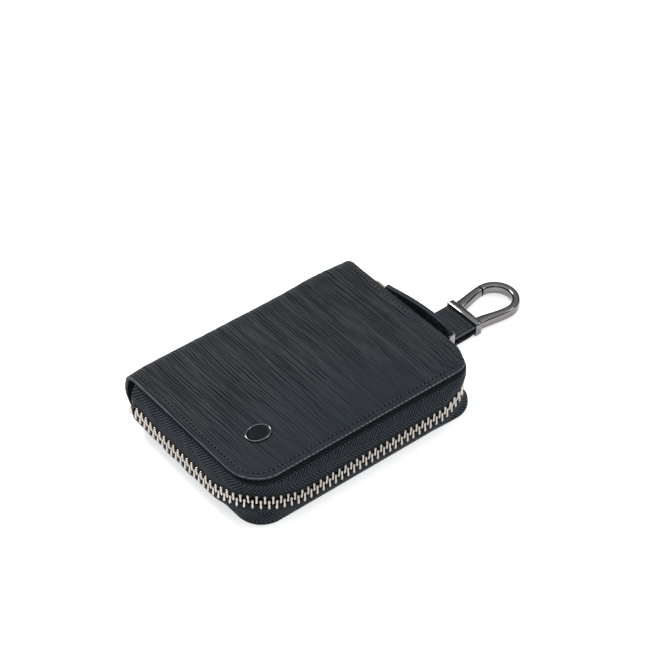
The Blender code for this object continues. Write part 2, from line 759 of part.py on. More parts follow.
def make_pull():
    """The pull: a wire link under the bridge, a leather tab and a metal clasp on its end.

    The pieces are made pointing toward the front with the pivot at the origin, and hang from
    an empty on the pivot that is turned out from the case's side.
    """
    pivot = bpy.data.objects.new("pull_pivot", None)
    pivot.location = pull_pivot()
    pivot.rotation_euler = (0, 0, math.radians(PULL_SPLAY_DEG))
    parts.objects.link(pivot)
    corner = [(0, 0, RING_NEAR_HALF), (0, -RING_REACH, RING_FAR_HALF), (0, -RING_REACH, -RING_FAR_HALF),
              (0, 0, -RING_NEAR_HALF)]
    ring = place(tube_mesh("pull_link", corner, RING_WIRE, closed=True, resolution=2), "pull_link", nickel())
    side = rounded_outline((-TAB_END, -TAB_HEIGHT / 2), (-TAB_START, TAB_HEIGHT / 2),
                           (TAB_LOW_CORNER, TAB_ROUND, TAB_ROUND, TAB_TOP_CORNER), 5)
    mesh = outline_mesh("pull_tab", [side], -TAB_THICKNESS / 2, TAB_THICKNESS / 2, SIDE_PLANE)
    tab = soften(place(mesh, "pull_tab", leather()), TAB_ROUND)
    channel = tube_mesh("link_channel", corner, RING_WIRE + CLEARANCE, closed=True, resolution=2)
    combine(tab, channel, "DIFFERENCE")
    grow = PULL_END_WALL + CLEARANCE
    clasp_side = [(-TAB_END - grow, -PULL_END_LOW), (-TAB_END + PULL_END_LENGTH, -PULL_END_LOW),
                  (-TAB_END + PULL_END_LENGTH, PULL_END_HIGH), (-TAB_END - grow, PULL_END_HIGH)]
    thick = TAB_THICKNESS / 2 + grow
    clasp = place(outline_mesh("pull_end", [clasp_side], -thick, thick, SIDE_PLANE), "pull_end", gunmetal())
    soften(clasp, EDGE_ROUND)
    room = TAB_THICKNESS / 2 + CLEARANCE
    hollow = block_mesh("pull_end_hollow", (-room, -TAB_END - CLEARANCE, -TAB_HEIGHT),
                        (room, -TAB_START, TAB_HEIGHT))
    combine(clasp, hollow, "DIFFERENCE")
    for piece in (ring, tab, clasp):
        piece.parent = pivot
    for cutter in cutters.objects:
        if cutter.name.startswith(("pull_tab", "pull_end")):
            cutter.parent = pivot


def strap_top(x):
    """Height of the strap's upper face, rising from the seam to the sleeve."""
    start = HALF_WIDTH + LEATHER
    if x < STRAP_HINGE_X:
        return STRAP_ROOT_HEIGHT + (STRAP_HEIGHT - STRAP_ROOT_HEIGHT) * (x - start) / (STRAP_HINGE_X - start)
    rise = (x - STRAP_HINGE_X) / (STRAP_END_X - STRAP_HINGE_X)
    return STRAP_HEIGHT + (STRAP_TOP_HEIGHT - STRAP_HEIGHT) * rise


def make_strap():
    """The strap: two plies that leave the case's seam, and their closed end in the sleeve."""
    low = STRAP_LIFT
    near = STRAP_HINGE_X - CLEARANCE / 2
    far = STRAP_HINGE_X + CLEARANCE / 2
    outside = HALF_WIDTH + CLEARANCE
    root = HALF_WIDTH + LEATHER
    tongue_low = LAYER_LOW
    tongue_high = LAYER_LOW + STRAP_TONGUE
    base = [(STRAP_START_X, tongue_low), (outside, tongue_low), (outside, low), (near, low),
            (near, low + STRAP_PLY), (STRAP_JOIN_X, low + STRAP_PLY),
            (STRAP_JOIN_X, strap_top(STRAP_JOIN_X) - STRAP_PLY), (near, strap_top(near) - STRAP_PLY),
            (near, strap_top(near)), (root, strap_top(root)), (outside, tongue_high),
            (STRAP_START_X, tongue_high)]
    if strap_top(STRAP_JOIN_X) - STRAP_PLY <= low + STRAP_PLY:
        del base[6]
    front = -STRAP_Y - STRAP_WIDTH / 2
    back = -STRAP_Y + STRAP_WIDTH / 2
    mesh = outline_mesh("strap_base", [base], front, back, LONG_PLANE)
    place(mesh, "strap_base", leather())
    bend = STRAP_END_X - STRAP_PLY
    end = [(far, low), (SLEEVE_START_X - CLEARANCE, low),
           (SLEEVE_START_X, SLEEVE_WALL + CLEARANCE), (STRAP_END_X - EDGE_ROUND, SLEEVE_WALL + CLEARANCE),
           (STRAP_END_X, SLEEVE_WALL + CLEARANCE + EDGE_ROUND), (STRAP_END_X, STRAP_TOP_HEIGHT - EDGE_ROUND),
           (STRAP_END_X - EDGE_ROUND, STRAP_TOP_HEIGHT), (far, strap_top(far)),
           (far, strap_top(far) - STRAP_PLY), (bend, STRAP_TOP_HEIGHT - STRAP_PLY),
           (bend, SLEEVE_WALL + CLEARANCE + STRAP_PLY), (far, low + STRAP_PLY)]
    mesh = outline_mesh("strap_end", [end], front, back, LONG_PLANE)
    place(mesh, "strap_end", leather())


def loop_outer(shrink=0):
    """The clip loop's outer outline: a neck at the sleeve that widens to a round end."""
    radius = LOOP_OUTER_RADIUS - shrink
    neck = LOOP_NECK_HALF_WIDTH - shrink
    start = SLEEVE_END_X - SLEEVE_BACK / 2
    round_end = arc((LOOP_CENTRE_X, STRAP_Y), radius, -90, 90, 16)
    return [(start, STRAP_Y - neck)] + round_end + [(start, STRAP_Y + neck)]


def loop_inner():
    """The hole of the clip's loop."""
    round_end = arc((LOOP_CENTRE_X, STRAP_Y), LOOP_INNER_RADIUS, -90, 90, 16)
    start = LOOP_HOLE_START_X
    return [(start, STRAP_Y - LOOP_NECK_INNER)] + round_end + [(start, STRAP_Y + LOOP_NECK_INNER)]


def sleeve_mesh(name, wall, x_low, x_high):
    """The sleeve's outside, or its hollow when a wall is taken off."""
    side = rounded_outline((STRAP_Y - SLEEVE_HALF_WIDTH + wall, wall),
                           (STRAP_Y + SLEEVE_HALF_WIDTH - wall, SLEEVE_HEIGHT - wall),
                           (SLEEVE_WALL - wall / 2,) * 4, 3)
    return outline_mesh(name, [side], x_low, x_high, SIDE_PLANE)


def make_clip():
    """The clip: sleeve and loop in one casting, a gate in the back leg and its pin.

    The gap for the gate widens toward the inside, so that the gate's end clears it when it swings in.
    """
    middle = (LOOP_LOW + LOOP_HIGH) / 2
    slot = TONGUE_HEIGHT / 2 + CLEARANCE
    frame = place(outline_mesh("clip_frame", [loop_outer()], LOOP_LOW, LOOP_HIGH), "clip_frame", gunmetal())
    soften(frame, LOOP_CORNER)
    combine(frame, outline_mesh("loop_hole", [loop_inner()], -LOOP_HIGH, LOOP_HIGH * 2), "DIFFERENCE")
    reach = LOOP_OUTER_RADIUS * 2
    gap_end = GATE_END_X + CLEARANCE
    relief = (PIN_Y - STRAP_Y) * math.tan(math.radians(GATE_RELIEF_DEG))
    gap = [(GATE_START_X - CLEARANCE, STRAP_Y), (gap_end + relief, STRAP_Y), (gap_end, PIN_Y),
           (gap_end, STRAP_Y + reach), (GATE_START_X - CLEARANCE, STRAP_Y + reach)]
    combine(frame, outline_mesh("gate_gap", [gap], -LOOP_HIGH, LOOP_HIGH * 2), "DIFFERENCE")
    knuckle = KNUCKLE_RADIUS + CLEARANCE
    slot_y = STRAP_Y + LOOP_INNER_RADIUS - knuckle
    combine(frame, block_mesh("fork_slot", (GATE_END_X, slot_y, middle - slot),
                              (LOOP_CENTRE_X + knuckle, STRAP_Y + reach, middle + slot)), "DIFFERENCE")
    combine(frame, drum_mesh("pin_hole", PIN_RADIUS + CLEARANCE, (LOOP_CENTRE_X, PIN_Y, -LOOP_HIGH),
                             (LOOP_CENTRE_X, PIN_Y, LOOP_HIGH * 2)), "DIFFERENCE")
    combine(frame, sleeve_mesh("sleeve", 0, SLEEVE_START_X, SLEEVE_END_X), "UNION")
    combine(frame, sleeve_mesh("sleeve_hollow", SLEEVE_WALL, SLEEVE_START_X - SLEEVE_BACK,
                               SLEEVE_END_X - SLEEVE_BACK), "DIFFERENCE")
    gate = place(outline_mesh("clip_gate", [loop_outer()], LOOP_LOW, LOOP_HIGH), "clip_gate", gunmetal())
    soften(gate, LOOP_CORNER)
    combine(gate, outline_mesh("gate_inside", [loop_inner()], -LOOP_HIGH, LOOP_HIGH * 2), "DIFFERENCE")
    combine(gate, block_mesh("gate_span", (GATE_START_X, STRAP_Y, -LOOP_HIGH),
                             (GATE_END_X, STRAP_Y + reach, LOOP_HIGH * 2)), "INTERSECT")
    tongue = [(GATE_END_X - KNUCKLE_RADIUS, PIN_Y - KNUCKLE_RADIUS)]
    tongue += arc((LOOP_CENTRE_X, PIN_Y), KNUCKLE_RADIUS, -90, 90)
    tongue += [(GATE_END_X - KNUCKLE_RADIUS, PIN_Y + KNUCKLE_RADIUS - EDGE_ROUND)]
    combine(gate, outline_mesh("gate_tongue", [tongue], middle - TONGUE_HEIGHT / 2,
                               middle + TONGUE_HEIGHT / 2), "UNION")
    combine(gate, drum_mesh("gate_bore", PIN_RADIUS + CLEARANCE, (LOOP_CENTRE_X, PIN_Y, -LOOP_HIGH),
                            (LOOP_CENTRE_X, PIN_Y, LOOP_HIGH * 2)), "DIFFERENCE")
    pin = drum_mesh("gate_pin", PIN_RADIUS, (LOOP_CENTRE_X, PIN_Y, LOOP_LOW),
                    (LOOP_CENTRE_X, PIN_Y, LOOP_HIGH))
    place(pin, "gate_pin", gunmetal())


def plate_level():
    """Heights of the key plate: its underside and its top."""
    low = LINING_HIGH + CLEARANCE
    return low, low + PLATE_THICKNESS


def rod_axis():
    """The key rod's Y and height."""
    return PLATE_Y - ROD_INSET_Y, plate_level()[1] + ROD_HEIGHT


def make_key_plate():
    """The plate on the back lining with its ears, the rod and the two rivets."""
    low, high = plate_level()
    rod_y, rod_z = rod_axis()
    outline = rounded_outline((-PLATE_LENGTH / 2, PLATE_Y - PLATE_DEPTH / 2),
                              (PLATE_LENGTH / 2, PLATE_Y + PLATE_DEPTH / 2), (EAR_WIDTH / 2,) * 4, 4)
    plate = place(outline_mesh("key_plate", [outline], low, high), "key_plate", nickel())
    ear_x = PLATE_LENGTH / 2 - EAR_WIDTH / 2 - EAR_THICKNESS
    for x in (-ear_x, 0, ear_x):
        ear = [(PLATE_Y, (low + high) / 2), (PLATE_Y, high + EDGE_ROUND)]
        ear += arc((rod_y, rod_z), EAR_WIDTH / 2, 50, 220, 6)
        ear += [(PLATE_Y - PLATE_DEPTH / 2 + EDGE_ROUND, (low + high) / 2)]
        combine(plate, outline_mesh("ear", [ear], x - EAR_THICKNESS / 2, x + EAR_THICKNESS / 2, SIDE_PLANE),
                "UNION")
    start = (-ear_x - EAR_THICKNESS * 2, rod_y, rod_z)
    end = (ear_x + EAR_THICKNESS * 2, rod_y, rod_z)
    combine(plate, drum_mesh("rod_holes", ROD_RADIUS + CLEARANCE, start, end), "DIFFERENCE")
    place(drum_mesh("key_rod", ROD_RADIUS, (-ear_x - EAR_THICKNESS, rod_y, rod_z),
                    (ear_x + EAR_THICKNESS, rod_y, rod_z), 16), "key_rod", nickel())
    for name, x in (("plate_rivet_left", -RIVET_X), ("plate_rivet_right", RIVET_X)):
        y = PLATE_Y + EDGE_ROUND
        combine(plate, drum_mesh("rivet_hole", RIVET_SHANK_RADIUS + CLEARANCE, (x, y, 0),
                                 (x, y, high + PLATE_THICKNESS)), "DIFFERENCE")
        rivet = place(drum_mesh(name, RIVET_SHANK_RADIUS, (x, y, low), (x, y, high + CLEARANCE * 2)), name,
                      nickel())
        combine(rivet, drum_mesh("rivet_head", RIVET_HEAD_RADIUS, (x, y, high + CLEARANCE),
                                 (x, y, high + CLEARANCE + RIVET_HEAD_HEIGHT)), "UNION")


def make_hooks():
    """Four hooks that swing on the rod, each a wire loop with a mouth and an eye.

    Each is made with the rod's axis at its own origin and droops until its tip is near the lining.
    """
    rod_y, rod_z = rod_axis()
    for number in range(HOOK_COUNT):
        name = f"key_hook_{number + 1}"
        x = (number - (HOOK_COUNT - 1) / 2) * HOOK_PITCH
        eye_half = EYE_LENGTH / 2
        hook = place(drum_mesh(name, EYE_RADIUS, (-eye_half, 0, 0), (eye_half, 0, 0), 16), name, nickel())
        bend = HOOK_HALF_WIDTH
        round_end = arc((0, -HOOK_LENGTH + bend), bend, 180, 360, 8)
        wire = [(0, -EYE_RADIUS / 2, 0), (0, -HOOK_NECK + bend / 2, 0), (-bend, -HOOK_NECK - bend / 2, 0)]
        wire += [(px, py, 0) for px, py in round_end]
        wire += [(bend, -HOOK_NECK - bend / 2, 0), (bend / 2, -HOOK_NECK - HOOK_MOUTH / 4, 0)]
        combine(hook, tube_mesh("hook_wire", wire, HOOK_WIRE, resolution=2), "UNION")
        combine(hook, drum_mesh("eye_bore", ROD_RADIUS + CLEARANCE, (-EYE_LENGTH, 0, 0), (EYE_LENGTH, 0, 0),
                                16), "DIFFERENCE")
        hook.location = (x, rod_y, rod_z)
        hook.rotation_euler = (math.radians(HOOK_DROOP_DEG), 0, 0)
        for cutter in cutters.objects:
            if cutter.name.startswith(name):
                cutter.parent = hook


def make_pocket():
    """The slip pocket's panel under the front lining."""
    top = CASE_HEIGHT - LINING_HIGH - CLEARANCE
    outline = rounded_outline((-POCKET_WIDTH / 2, POCKET_Y - POCKET_DEPTH / 2),
                              (POCKET_WIDTH / 2, POCKET_Y + POCKET_DEPTH / 2),
                              (POCKET_CORNER, POCKET_CORNER, EDGE_ROUND, EDGE_ROUND), 5)
    place(outline_mesh("slip_pocket", [outline], top - LINING, top), "slip_pocket", lining())


def oval_outline(grow=0):
    """The badge's oval outline on the front cover."""
    points = arc((0, 0), 1, 0, 360, SLEEVE_SIDES)[:-1]
    return [(BADGE_X + x * (BADGE_HALF_LENGTH + grow), BADGE_Y + y * (BADGE_HALF_WIDTH + grow))
            for x, y in points]


def make_badge():
    """A plain oval badge set into the front cover, with a raised rim."""
    low = CASE_HEIGHT - BADGE_SEAT + CLEARANCE
    high = low + BADGE_THICKNESS
    badge = place(outline_mesh("badge", [oval_outline()], low, high), "badge", gunmetal())
    dish = outline_mesh("badge_dish", [oval_outline(-BADGE_RIM)], high - CLEARANCE, high + BADGE_THICKNESS)
    combine(badge, dish, "DIFFERENCE")


def main():
    clear_scene()
    make_covers()
    make_spine()
    make_zip()
    make_slider()
    make_pull()
    make_strap()
    make_clip()
    make_key_plate()
    make_hooks()
    make_pocket()
    make_badge()
    for obj in parts.objects:
        if obj.type == "MESH":
            smooth(obj)


main()
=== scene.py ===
"""Looks of a zip-around leather key case with a strap, a zip pull and a gated clip.

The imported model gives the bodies, the nodes and the frame. Each piece here is a surface worked out
as arrays of points: a grid of two parameters, or a section carried along a path. The materials are
built from nodes and read object coordinates or the piece's own attributes.
Lengths are in metres. X runs along the spine toward the strap, Y toward the spine, Z up.
"""
import math

import bmesh
import bpy
import numpy as np
from bpy.props import FloatProperty, FloatVectorProperty, PointerProperty
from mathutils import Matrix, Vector


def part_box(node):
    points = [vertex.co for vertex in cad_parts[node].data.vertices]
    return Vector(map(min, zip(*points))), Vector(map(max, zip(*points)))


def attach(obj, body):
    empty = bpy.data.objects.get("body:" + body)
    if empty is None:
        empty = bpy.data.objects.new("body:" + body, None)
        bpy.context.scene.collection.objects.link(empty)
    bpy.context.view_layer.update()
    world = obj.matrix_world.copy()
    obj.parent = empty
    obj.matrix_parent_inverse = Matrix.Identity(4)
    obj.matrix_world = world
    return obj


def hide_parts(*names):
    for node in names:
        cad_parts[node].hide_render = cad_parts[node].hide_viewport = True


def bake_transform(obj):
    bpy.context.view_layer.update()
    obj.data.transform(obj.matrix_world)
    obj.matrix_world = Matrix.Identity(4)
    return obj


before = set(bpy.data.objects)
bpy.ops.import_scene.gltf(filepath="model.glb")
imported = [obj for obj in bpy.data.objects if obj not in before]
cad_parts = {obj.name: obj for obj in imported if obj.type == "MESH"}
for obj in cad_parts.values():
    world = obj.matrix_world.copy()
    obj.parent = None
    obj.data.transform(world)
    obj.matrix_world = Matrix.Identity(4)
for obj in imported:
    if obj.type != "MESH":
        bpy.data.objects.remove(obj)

bl_info = {
    "name": "Key holder",
    "version": (1, 0, 0),
    "blender": (4, 5, 0),
    "location": "3D View > Sidebar > Key holder",
    "description": "Dresses the zip-around key case in leather, zip, lining and metal",
    "category": "Object",
}

# The case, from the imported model
COVER_LOW, COVER_HIGH = (np.array(corner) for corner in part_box("front_leather"))
HALF_WIDTH = COVER_HIGH[0]
CASE_HEIGHT = COVER_HIGH[2]
HALF_DEPTH = -COVER_LOW[1]
MIDDLE_HEIGHT = CASE_HEIGHT / 2

# Sizes of the solids that the pieces are fitted to
CORNER_RADIUS = 0.012
FOLD_RADIUS = 0.0075
LEATHER = 0.0015
TAPE = 0.0007
LINING = 0.0007
CLEARANCE = 0.0003
FLANGE_REACH = 0.0066
TURN_START = 0.0024
TURN_INSET = 0.0008
TURN_RISE = 0.0012
LINING_INSET = 0.0036
LAYER_LOW = LEATHER + CLEARANCE
LINING_LOW = LAYER_LOW + TAPE + CLEARANCE
FOLD_Y = HALF_DEPTH - FOLD_RADIUS
BEND_X = HALF_WIDTH - CORNER_RADIUS
BEND_Y = -HALF_DEPTH + CORNER_RADIUS

# Zip chain
TAPE_END_Y = FOLD_Y - 0.0005
CHAIN_RAISE = 0.0002
CHAIN_HEIGHT = MIDDLE_HEIGHT + CHAIN_RAISE
CHAIN_OUTSET = 0.0014
LEFT_OUTSET = 0.0032
FRONT_OUTSET = 0.0030
CORNER_OUTSET = 0.0003
CORNER_TUCK = 0.0011
CHAIN_EASE = 0.0200
CHAIN_END_EASE = 0.0170
START_SAG = CASE_HEIGHT * 0.033
LEFT_SAG = CASE_HEIGHT * 0.092
FRONT_SAG = CASE_HEIGHT * 0.085
CORNER_RAISE = CASE_HEIGHT * 0.027
TOOTH_PITCH = 0.0030
CORD_OFFSET = 0.0024
TAPE_GAP = 0.0037
CORD_START = 0.0012
TEETH_END_SET = 0.0068
CORD_RADIUS = 0.0006
TAPE_BELLY = 0.0015
TAPE_WAVE = 0.00016
TAPE_END_REACH = 0.0014
HEM_REACH = 0.0012
HEM_DROP = 0.0012
SHADED_STRIP = 0.0026

# Strap and clip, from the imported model
STRAP_BOX = [np.array(corner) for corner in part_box("strap_base")]
STRAP_Y = (STRAP_BOX[0][1] + STRAP_BOX[1][1]) / 2
STRAP_WIDTH = STRAP_BOX[1][1] - STRAP_BOX[0][1] + 0.0009
STRAP_TONGUE_X = STRAP_BOX[0][0]
STRAP_HINGE_X = STRAP_BOX[1][0]
STRAP_HINGE_Z = STRAP_BOX[1][2]
STRAP_LIFT = STRAP_BOX[0][2]
STRAP_PLY = 0.0016
SKIVED_PLY = 0.0007
STRAP_ROOT_TOP = 0.0026
STRAP_EDGE_INSET = 0.0004
STRAP_EDGE_DIP = 0.00018
STRAP_SEAM_INSET = 0.0017
CLIP_BOX = [np.array(corner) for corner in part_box("clip_frame")]
SLEEVE_X = CLIP_BOX[0][0]
SLEEVE_LENGTH = 0.0032
SLEEVE_HEIGHT = CLIP_BOX[1][2]
SLEEVE_WALL = 0.0008
SLEEVE_BACK = 0.0011
SLEEVE_HALF_WIDTH = 0.0095
LOOP_OUTER = 0.0104
LOOP_INNER = 0.0069
LOOP_NECK_OUTER = 0.0086
LOOP_NECK_INNER = 0.0039
LOOP_WEB = 0.0008
LOOP_X = CLIP_BOX[1][0] - LOOP_OUTER
LOOP_ROOT_X = SLEEVE_X + SLEEVE_LENGTH - 0.0006
LOOP_STATIONS = 22
WEB_HALF_WIDTH = 0.0052
FORK_SLANT = 0.0006
LOOP_LOW, LOOP_HIGH = (corner[2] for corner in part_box("clip_gate"))
GATE_START_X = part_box("clip_gate")[0][0]
GATE_END_X = LOOP_X - 0.0015


class KeyHolderSizes(bpy.types.PropertyGroup):
    """Sizes of the finish that a user would change."""
    ridge_pitch: FloatProperty(name="Ridge pitch", description="Mean distance between the leather's ridges",
                               default=0.00145, min=0.0005, max=0.006, unit="LENGTH")
    ridge_depth: FloatProperty(name="Ridge depth", description="Depth of the grooves between the ridges",
                               default=0.00026, min=0.0, max=0.0005, unit="LENGTH")
    edge_round: FloatProperty(name="Edge rounding", description="Radius of the leather's painted edges",
                              default=0.00045, min=0.0001, max=0.0007, unit="LENGTH")
    stitch_inset: FloatProperty(name="Stitch inset", description="Distance of the seam from the edge",
                                default=0.0028, min=0.001, max=0.006, unit="LENGTH")
    stitch_length: FloatProperty(name="Stitch length", description="Length of one stitch",
                                 default=0.0015, min=0.001, max=0.005, unit="LENGTH")
    stitch_gap: FloatProperty(name="Stitch gap", description="Gap between two stitches",
                              default=0.0005, min=0.0002, max=0.003, unit="LENGTH")
    twill_column: FloatProperty(name="Herringbone column", description="Width of one column of the weave",
                                default=0.0040, min=0.001, max=0.006, unit="LENGTH")
    twill_pitch: FloatProperty(name="Herringbone pitch", description="Distance between two of its ribs",
                               default=0.0015, min=0.0004, max=0.003, unit="LENGTH")


class KeyHolderColours(bpy.types.PropertyGroup):
    """Colours of the materials."""
    # The groove colour is the leather darkened as painted shade; the ridge colour is where painted light
    # falls.
    leather_groove: FloatVectorProperty(name="Leather groove", description="Leather colour in the grooves",
                                        subtype="COLOR", size=3, default=(0.0015, 0.0060, 0.0095),
                                        min=0, max=1)
    leather_top: FloatVectorProperty(name="Leather ridge", description="Leather colour on the ridges",
                                     subtype="COLOR", size=3, default=(0.054, 0.057, 0.063), min=0, max=1)
    # Edge paint with a painted highlight: this light colour shows only on the edge's upper round.
    edge_paint_and_highlight: FloatVectorProperty(name="Edge paint", description="Paint on the cut edges",
                                    subtype="COLOR", size=3, default=(0.400, 0.440, 0.490), min=0, max=1)
    thread: FloatVectorProperty(name="Thread", description="Sewing thread",
                                subtype="COLOR", size=3, default=(0.021, 0.026, 0.033), min=0, max=1)
    tape: FloatVectorProperty(name="Zip tape", description="Woven zip tape",
                              subtype="COLOR", size=3, default=(0.023, 0.031, 0.040), min=0, max=1)
    lining: FloatVectorProperty(name="Lining", description="Lining cloth inside the case",
                                subtype="COLOR", size=3, default=(0.028, 0.029, 0.034), min=0, max=1)
    nickel: FloatVectorProperty(name="Nickel", description="Zip teeth and key fittings",
                                subtype="COLOR", size=3, default=(0.54, 0.505, 0.47), min=0, max=1)
    gunmetal: FloatVectorProperty(name="Gunmetal", description="Clip and badge",
                                  subtype="COLOR", size=3, default=(0.215, 0.210, 0.212), min=0, max=1)


def sizes():
    return bpy.context.scene.key_holder_sizes


def colours():
    return bpy.context.scene.key_holder_colours


# Arrays and meshes

def unit(vectors):
    """Vectors scaled to length one."""
    return vectors / np.maximum(np.linalg.norm(vectors, axis=-1, keepdims=True), 1e-12)


def ripple(a, b, reach_a, reach_b, seed, waves=9):
    """A soft random field: the sum of sine waves of random slopes and phases, spread about one."""
    chance = np.random.default_rng(seed)
    slope_a = chance.normal(0, 1, waves) / reach_a
    slope_b = chance.normal(0, 1, waves) / reach_b
    phase = chance.uniform(0, 2 * np.pi, waves)
    angle = a[..., None] * slope_a + b[..., None] * slope_b
    return np.sin(angle * 2 * np.pi + phase).sum(axis=-1) / math.sqrt(waves / 2)


def eased(share):
    """A smooth step from 0 to 1."""
    share = np.clip(share, 0, 1)
    return share * share * (3 - 2 * share)


def bell(value, middle, width):
    """A smooth hump of height one round a middle."""
    return np.exp(-((value - middle) / width) ** 2)


def superellipse(count, power):
    """Points round a superellipse of half width one: the cosine and the sine raised to a power."""
    turn = np.linspace(0, 2 * np.pi, count, endpoint=False)
    return [np.sign(wave) * np.abs(wave) ** power for wave in (np.cos(turn), np.sin(turn))]


def travelled(line):
    """The way along a line of points up to each of them, also for a stack of lines."""
    steps = np.linalg.norm(np.diff(line, axis=-2), axis=-1)
    return np.cumsum(np.insert(steps, 0, 0.0, axis=-1), axis=-1)


def line_normals(line):
    """Normals on the right of a flat line, also for a stack of lines."""
    tangent = unit(np.gradient(line, axis=-2))
    return np.stack([tangent[..., 1], -tangent[..., 0]], axis=-1)


def at_height(flat, height):
    """Flat points with one height added."""
    return np.column_stack([flat, np.full(len(flat), height)])


def at_side(outline, x):
    """Points drawn in Y and Z, all at one X."""
    return np.column_stack([np.full(len(outline), x), outline])


def grid_quads(rows, columns, start=0, around=False):
    """Corner numbers of the quads of a grid that is stored row by row."""
    numbers = start + np.arange(rows * columns).reshape(rows, columns)
    if around:
        numbers = np.concatenate([numbers, numbers[:, :1]], axis=1)
    return np.stack([numbers[:-1, :-1], numbers[:-1, 1:], numbers[1:, 1:], numbers[1:, :-1]],
                    axis=-1).reshape(-1, 4)


def make_piece(name, points, faces, finishes, finish_of_face=None, attributes=None):
    """A mesh object at the origin with its faces turned outward and shaded smooth."""
    mesh = bpy.data.meshes.new(name)
    mesh.from_pydata(points.tolist(), [], [list(face) for face in faces])
    for name_of, values in (attributes or {}).items():
        kind = "FLOAT" if values.ndim == 1 else "FLOAT_VECTOR"
        layer = mesh.attributes.new(name_of, kind, "POINT")
        layer.data.foreach_set("value" if values.ndim == 1 else "vector", values.astype(np.float32).ravel())
    if finish_of_face is not None:
        mesh.polygons.foreach_set("material_index", np.asarray(finish_of_face, np.int32))
    work = bmesh.new()
    work.from_mesh(mesh)
    bmesh.ops.recalc_face_normals(work, faces=work.faces)
    work.to_mesh(mesh)
    work.free()
    mesh.shade_smooth()
    for finish in finishes:
        mesh.materials.append(finish)
    piece = bpy.data.objects.new(name, mesh)
    bpy.context.scene.collection.objects.link(piece)
    return piece


def keep_sharp(piece, degrees):
    """Edges steeper than an angle stay sharp."""
    piece.data.set_sharp_from_angle(angle=math.radians(degrees))
    return piece


def border_numbers(rows, columns):
    """Numbers of a grid's border points, once round."""
    numbers = np.arange(rows * columns).reshape(rows, columns)
    return np.concatenate([numbers[0, :], numbers[1:, -1], numbers[-1, -2::-1], numbers[-2:0:-1, 0]])


def border_outward(grid):
    """Directions in a grid's own surface that point out of its border, at every point."""
    outward = np.zeros_like(grid)
    outward[0] += unit(grid[0] - grid[1])
    outward[-1] += unit(grid[-1] - grid[-2])
    outward[:, 0] += unit(grid[:, 0] - grid[:, 1])
    outward[:, -1] += unit(grid[:, -1] - grid[:, -2])
    return unit(outward)


INNER_FACE = 1.9
STITCH_WIDTH = 0.00042
STITCH_SINK = 0.00012
STITCH_LEAN = 0.06


def skin(outer, inner, radius, outward=None, steps=4):
    """A sheet with thickness: an outer and an inner grid, joined by a rounded rim.

    The rim leaves the outer border on a quarter circle of the radius, and comes back to the inner
    border on another. Gives the points, the faces and, for each point, the number of the outer
    point that it belongs to and how far down the rim it is, from 0 on the outer face to 2 inside,
    where all that is past INNER_FACE is the inner face.
    """
    rows, columns = outer.shape[:2]
    flat_outer = outer.reshape(-1, 3)
    flat_inner = inner.reshape(-1, 3)
    if outward is None:
        outward = border_outward(outer)
    outward = outward.reshape(-1, 3)
    radius = np.broadcast_to(radius, (rows, columns)).reshape(-1)
    border = border_numbers(rows, columns)
    start, end = flat_outer[border], flat_inner[border]
    inward = unit(end - start)
    out = outward[border] * radius[border, None]
    down = inward * radius[border, None]
    turns = np.linspace(0, np.pi / 2, steps + 1)[1:]
    rings = [start + out * math.sin(a) + down * (1 - math.cos(a)) for a in turns]
    rings += [end + out * math.sin(a) - down * (1 - math.cos(a)) for a in turns[::-1]]
    count = rows * columns
    length = len(border)
    points = np.concatenate([flat_outer, flat_inner] + rings)
    faces = [grid_quads(rows, columns), grid_quads(rows, columns, count)[:, ::-1]]
    loops = [border] + [count * 2 + length * k + np.arange(length) for k in range(len(rings))]
    loops.append(border + count)
    for near, far in zip(loops, loops[1:]):
        faces.append(np.stack([near, far, np.roll(far, -1), np.roll(near, -1)], axis=-1))
    owner = np.concatenate([np.arange(count), np.arange(count)] + [border] * len(rings))
    depth = [np.zeros(count), np.full(count, 2.0)]
    depth += [np.full(length, 0.5 + k / len(rings)) for k in range(len(rings))]
    return points, np.concatenate(faces), owner, np.concatenate(depth)


def joined(*shapes):
    """Several shapes as one: points and faces with their numbers moved up."""
    points, faces, moved = [], [], 0
    for shape_points, shape_faces in shapes:
        points.append(shape_points)
        faces += [[number + moved for number in face] for face in shape_faces]
        moved += len(shape_points)
    return np.concatenate(points), faces


def sweep(rings, capped=True):
    """A closed section carried along a path: rings is stations by section points by 3."""
    rows, columns = rings.shape[:2]
    faces = grid_quads(rows, columns, around=True).tolist()
    if capped:
        faces.append(list(range(columns))[::-1])
        faces.append(list(range((rows - 1) * columns, rows * columns)))
    else:
        last = (rows - 1) * columns
        faces += [[last + i, last + (i + 1) % columns, (i + 1) % columns, i] for i in range(columns)]
    return rings.reshape(-1, 3), faces


def tube(path, radius, sides=12, capped=True, up=(0, 0, 1)):
    """A round wire along a path; its section stands across the path's direction.

    The radius is one value or one for each point of the path.
    """
    path = np.asarray(path, float)
    if capped:
        along = unit(np.gradient(path, axis=0))
    else:
        along = unit(np.roll(path, -1, axis=0) - np.roll(path, 1, axis=0))
    side = unit(np.cross(along, np.asarray(up, float)))
    rise = np.cross(side, along)
    turn = np.linspace(0, 2 * np.pi, sides, endpoint=False)
    radius = np.broadcast_to(np.asarray(radius, float), (len(path),))[:, None, None]
    across = side[:, None] * np.cos(turn)[:, None] + rise[:, None] * np.sin(turn)[:, None]
    return sweep(path[:, None] + radius * across, capped)


def repeated(points, faces, places, frames):
    """Copies of one small shape: frames holds each copy's three directions and places its point."""
    every = np.einsum("pc,kcd->kpd", points, frames) + places[:, None]
    shifts = np.arange(len(places)) * len(points)
    return every.reshape(-1, 3), [[number + shift for number in face] for shift in shifts for face in faces]


def along_line(line, distances, step=0.0004):
    """Points of a polyline at distances along it, and its direction there over a step each way."""
    reached = travelled(line)
    spots, behind, ahead = (np.stack([np.interp(way, reached, values) for values in line.T], axis=-1)
                            for way in (distances, distances - step, distances + step))
    return spots, unit(ahead - behind)


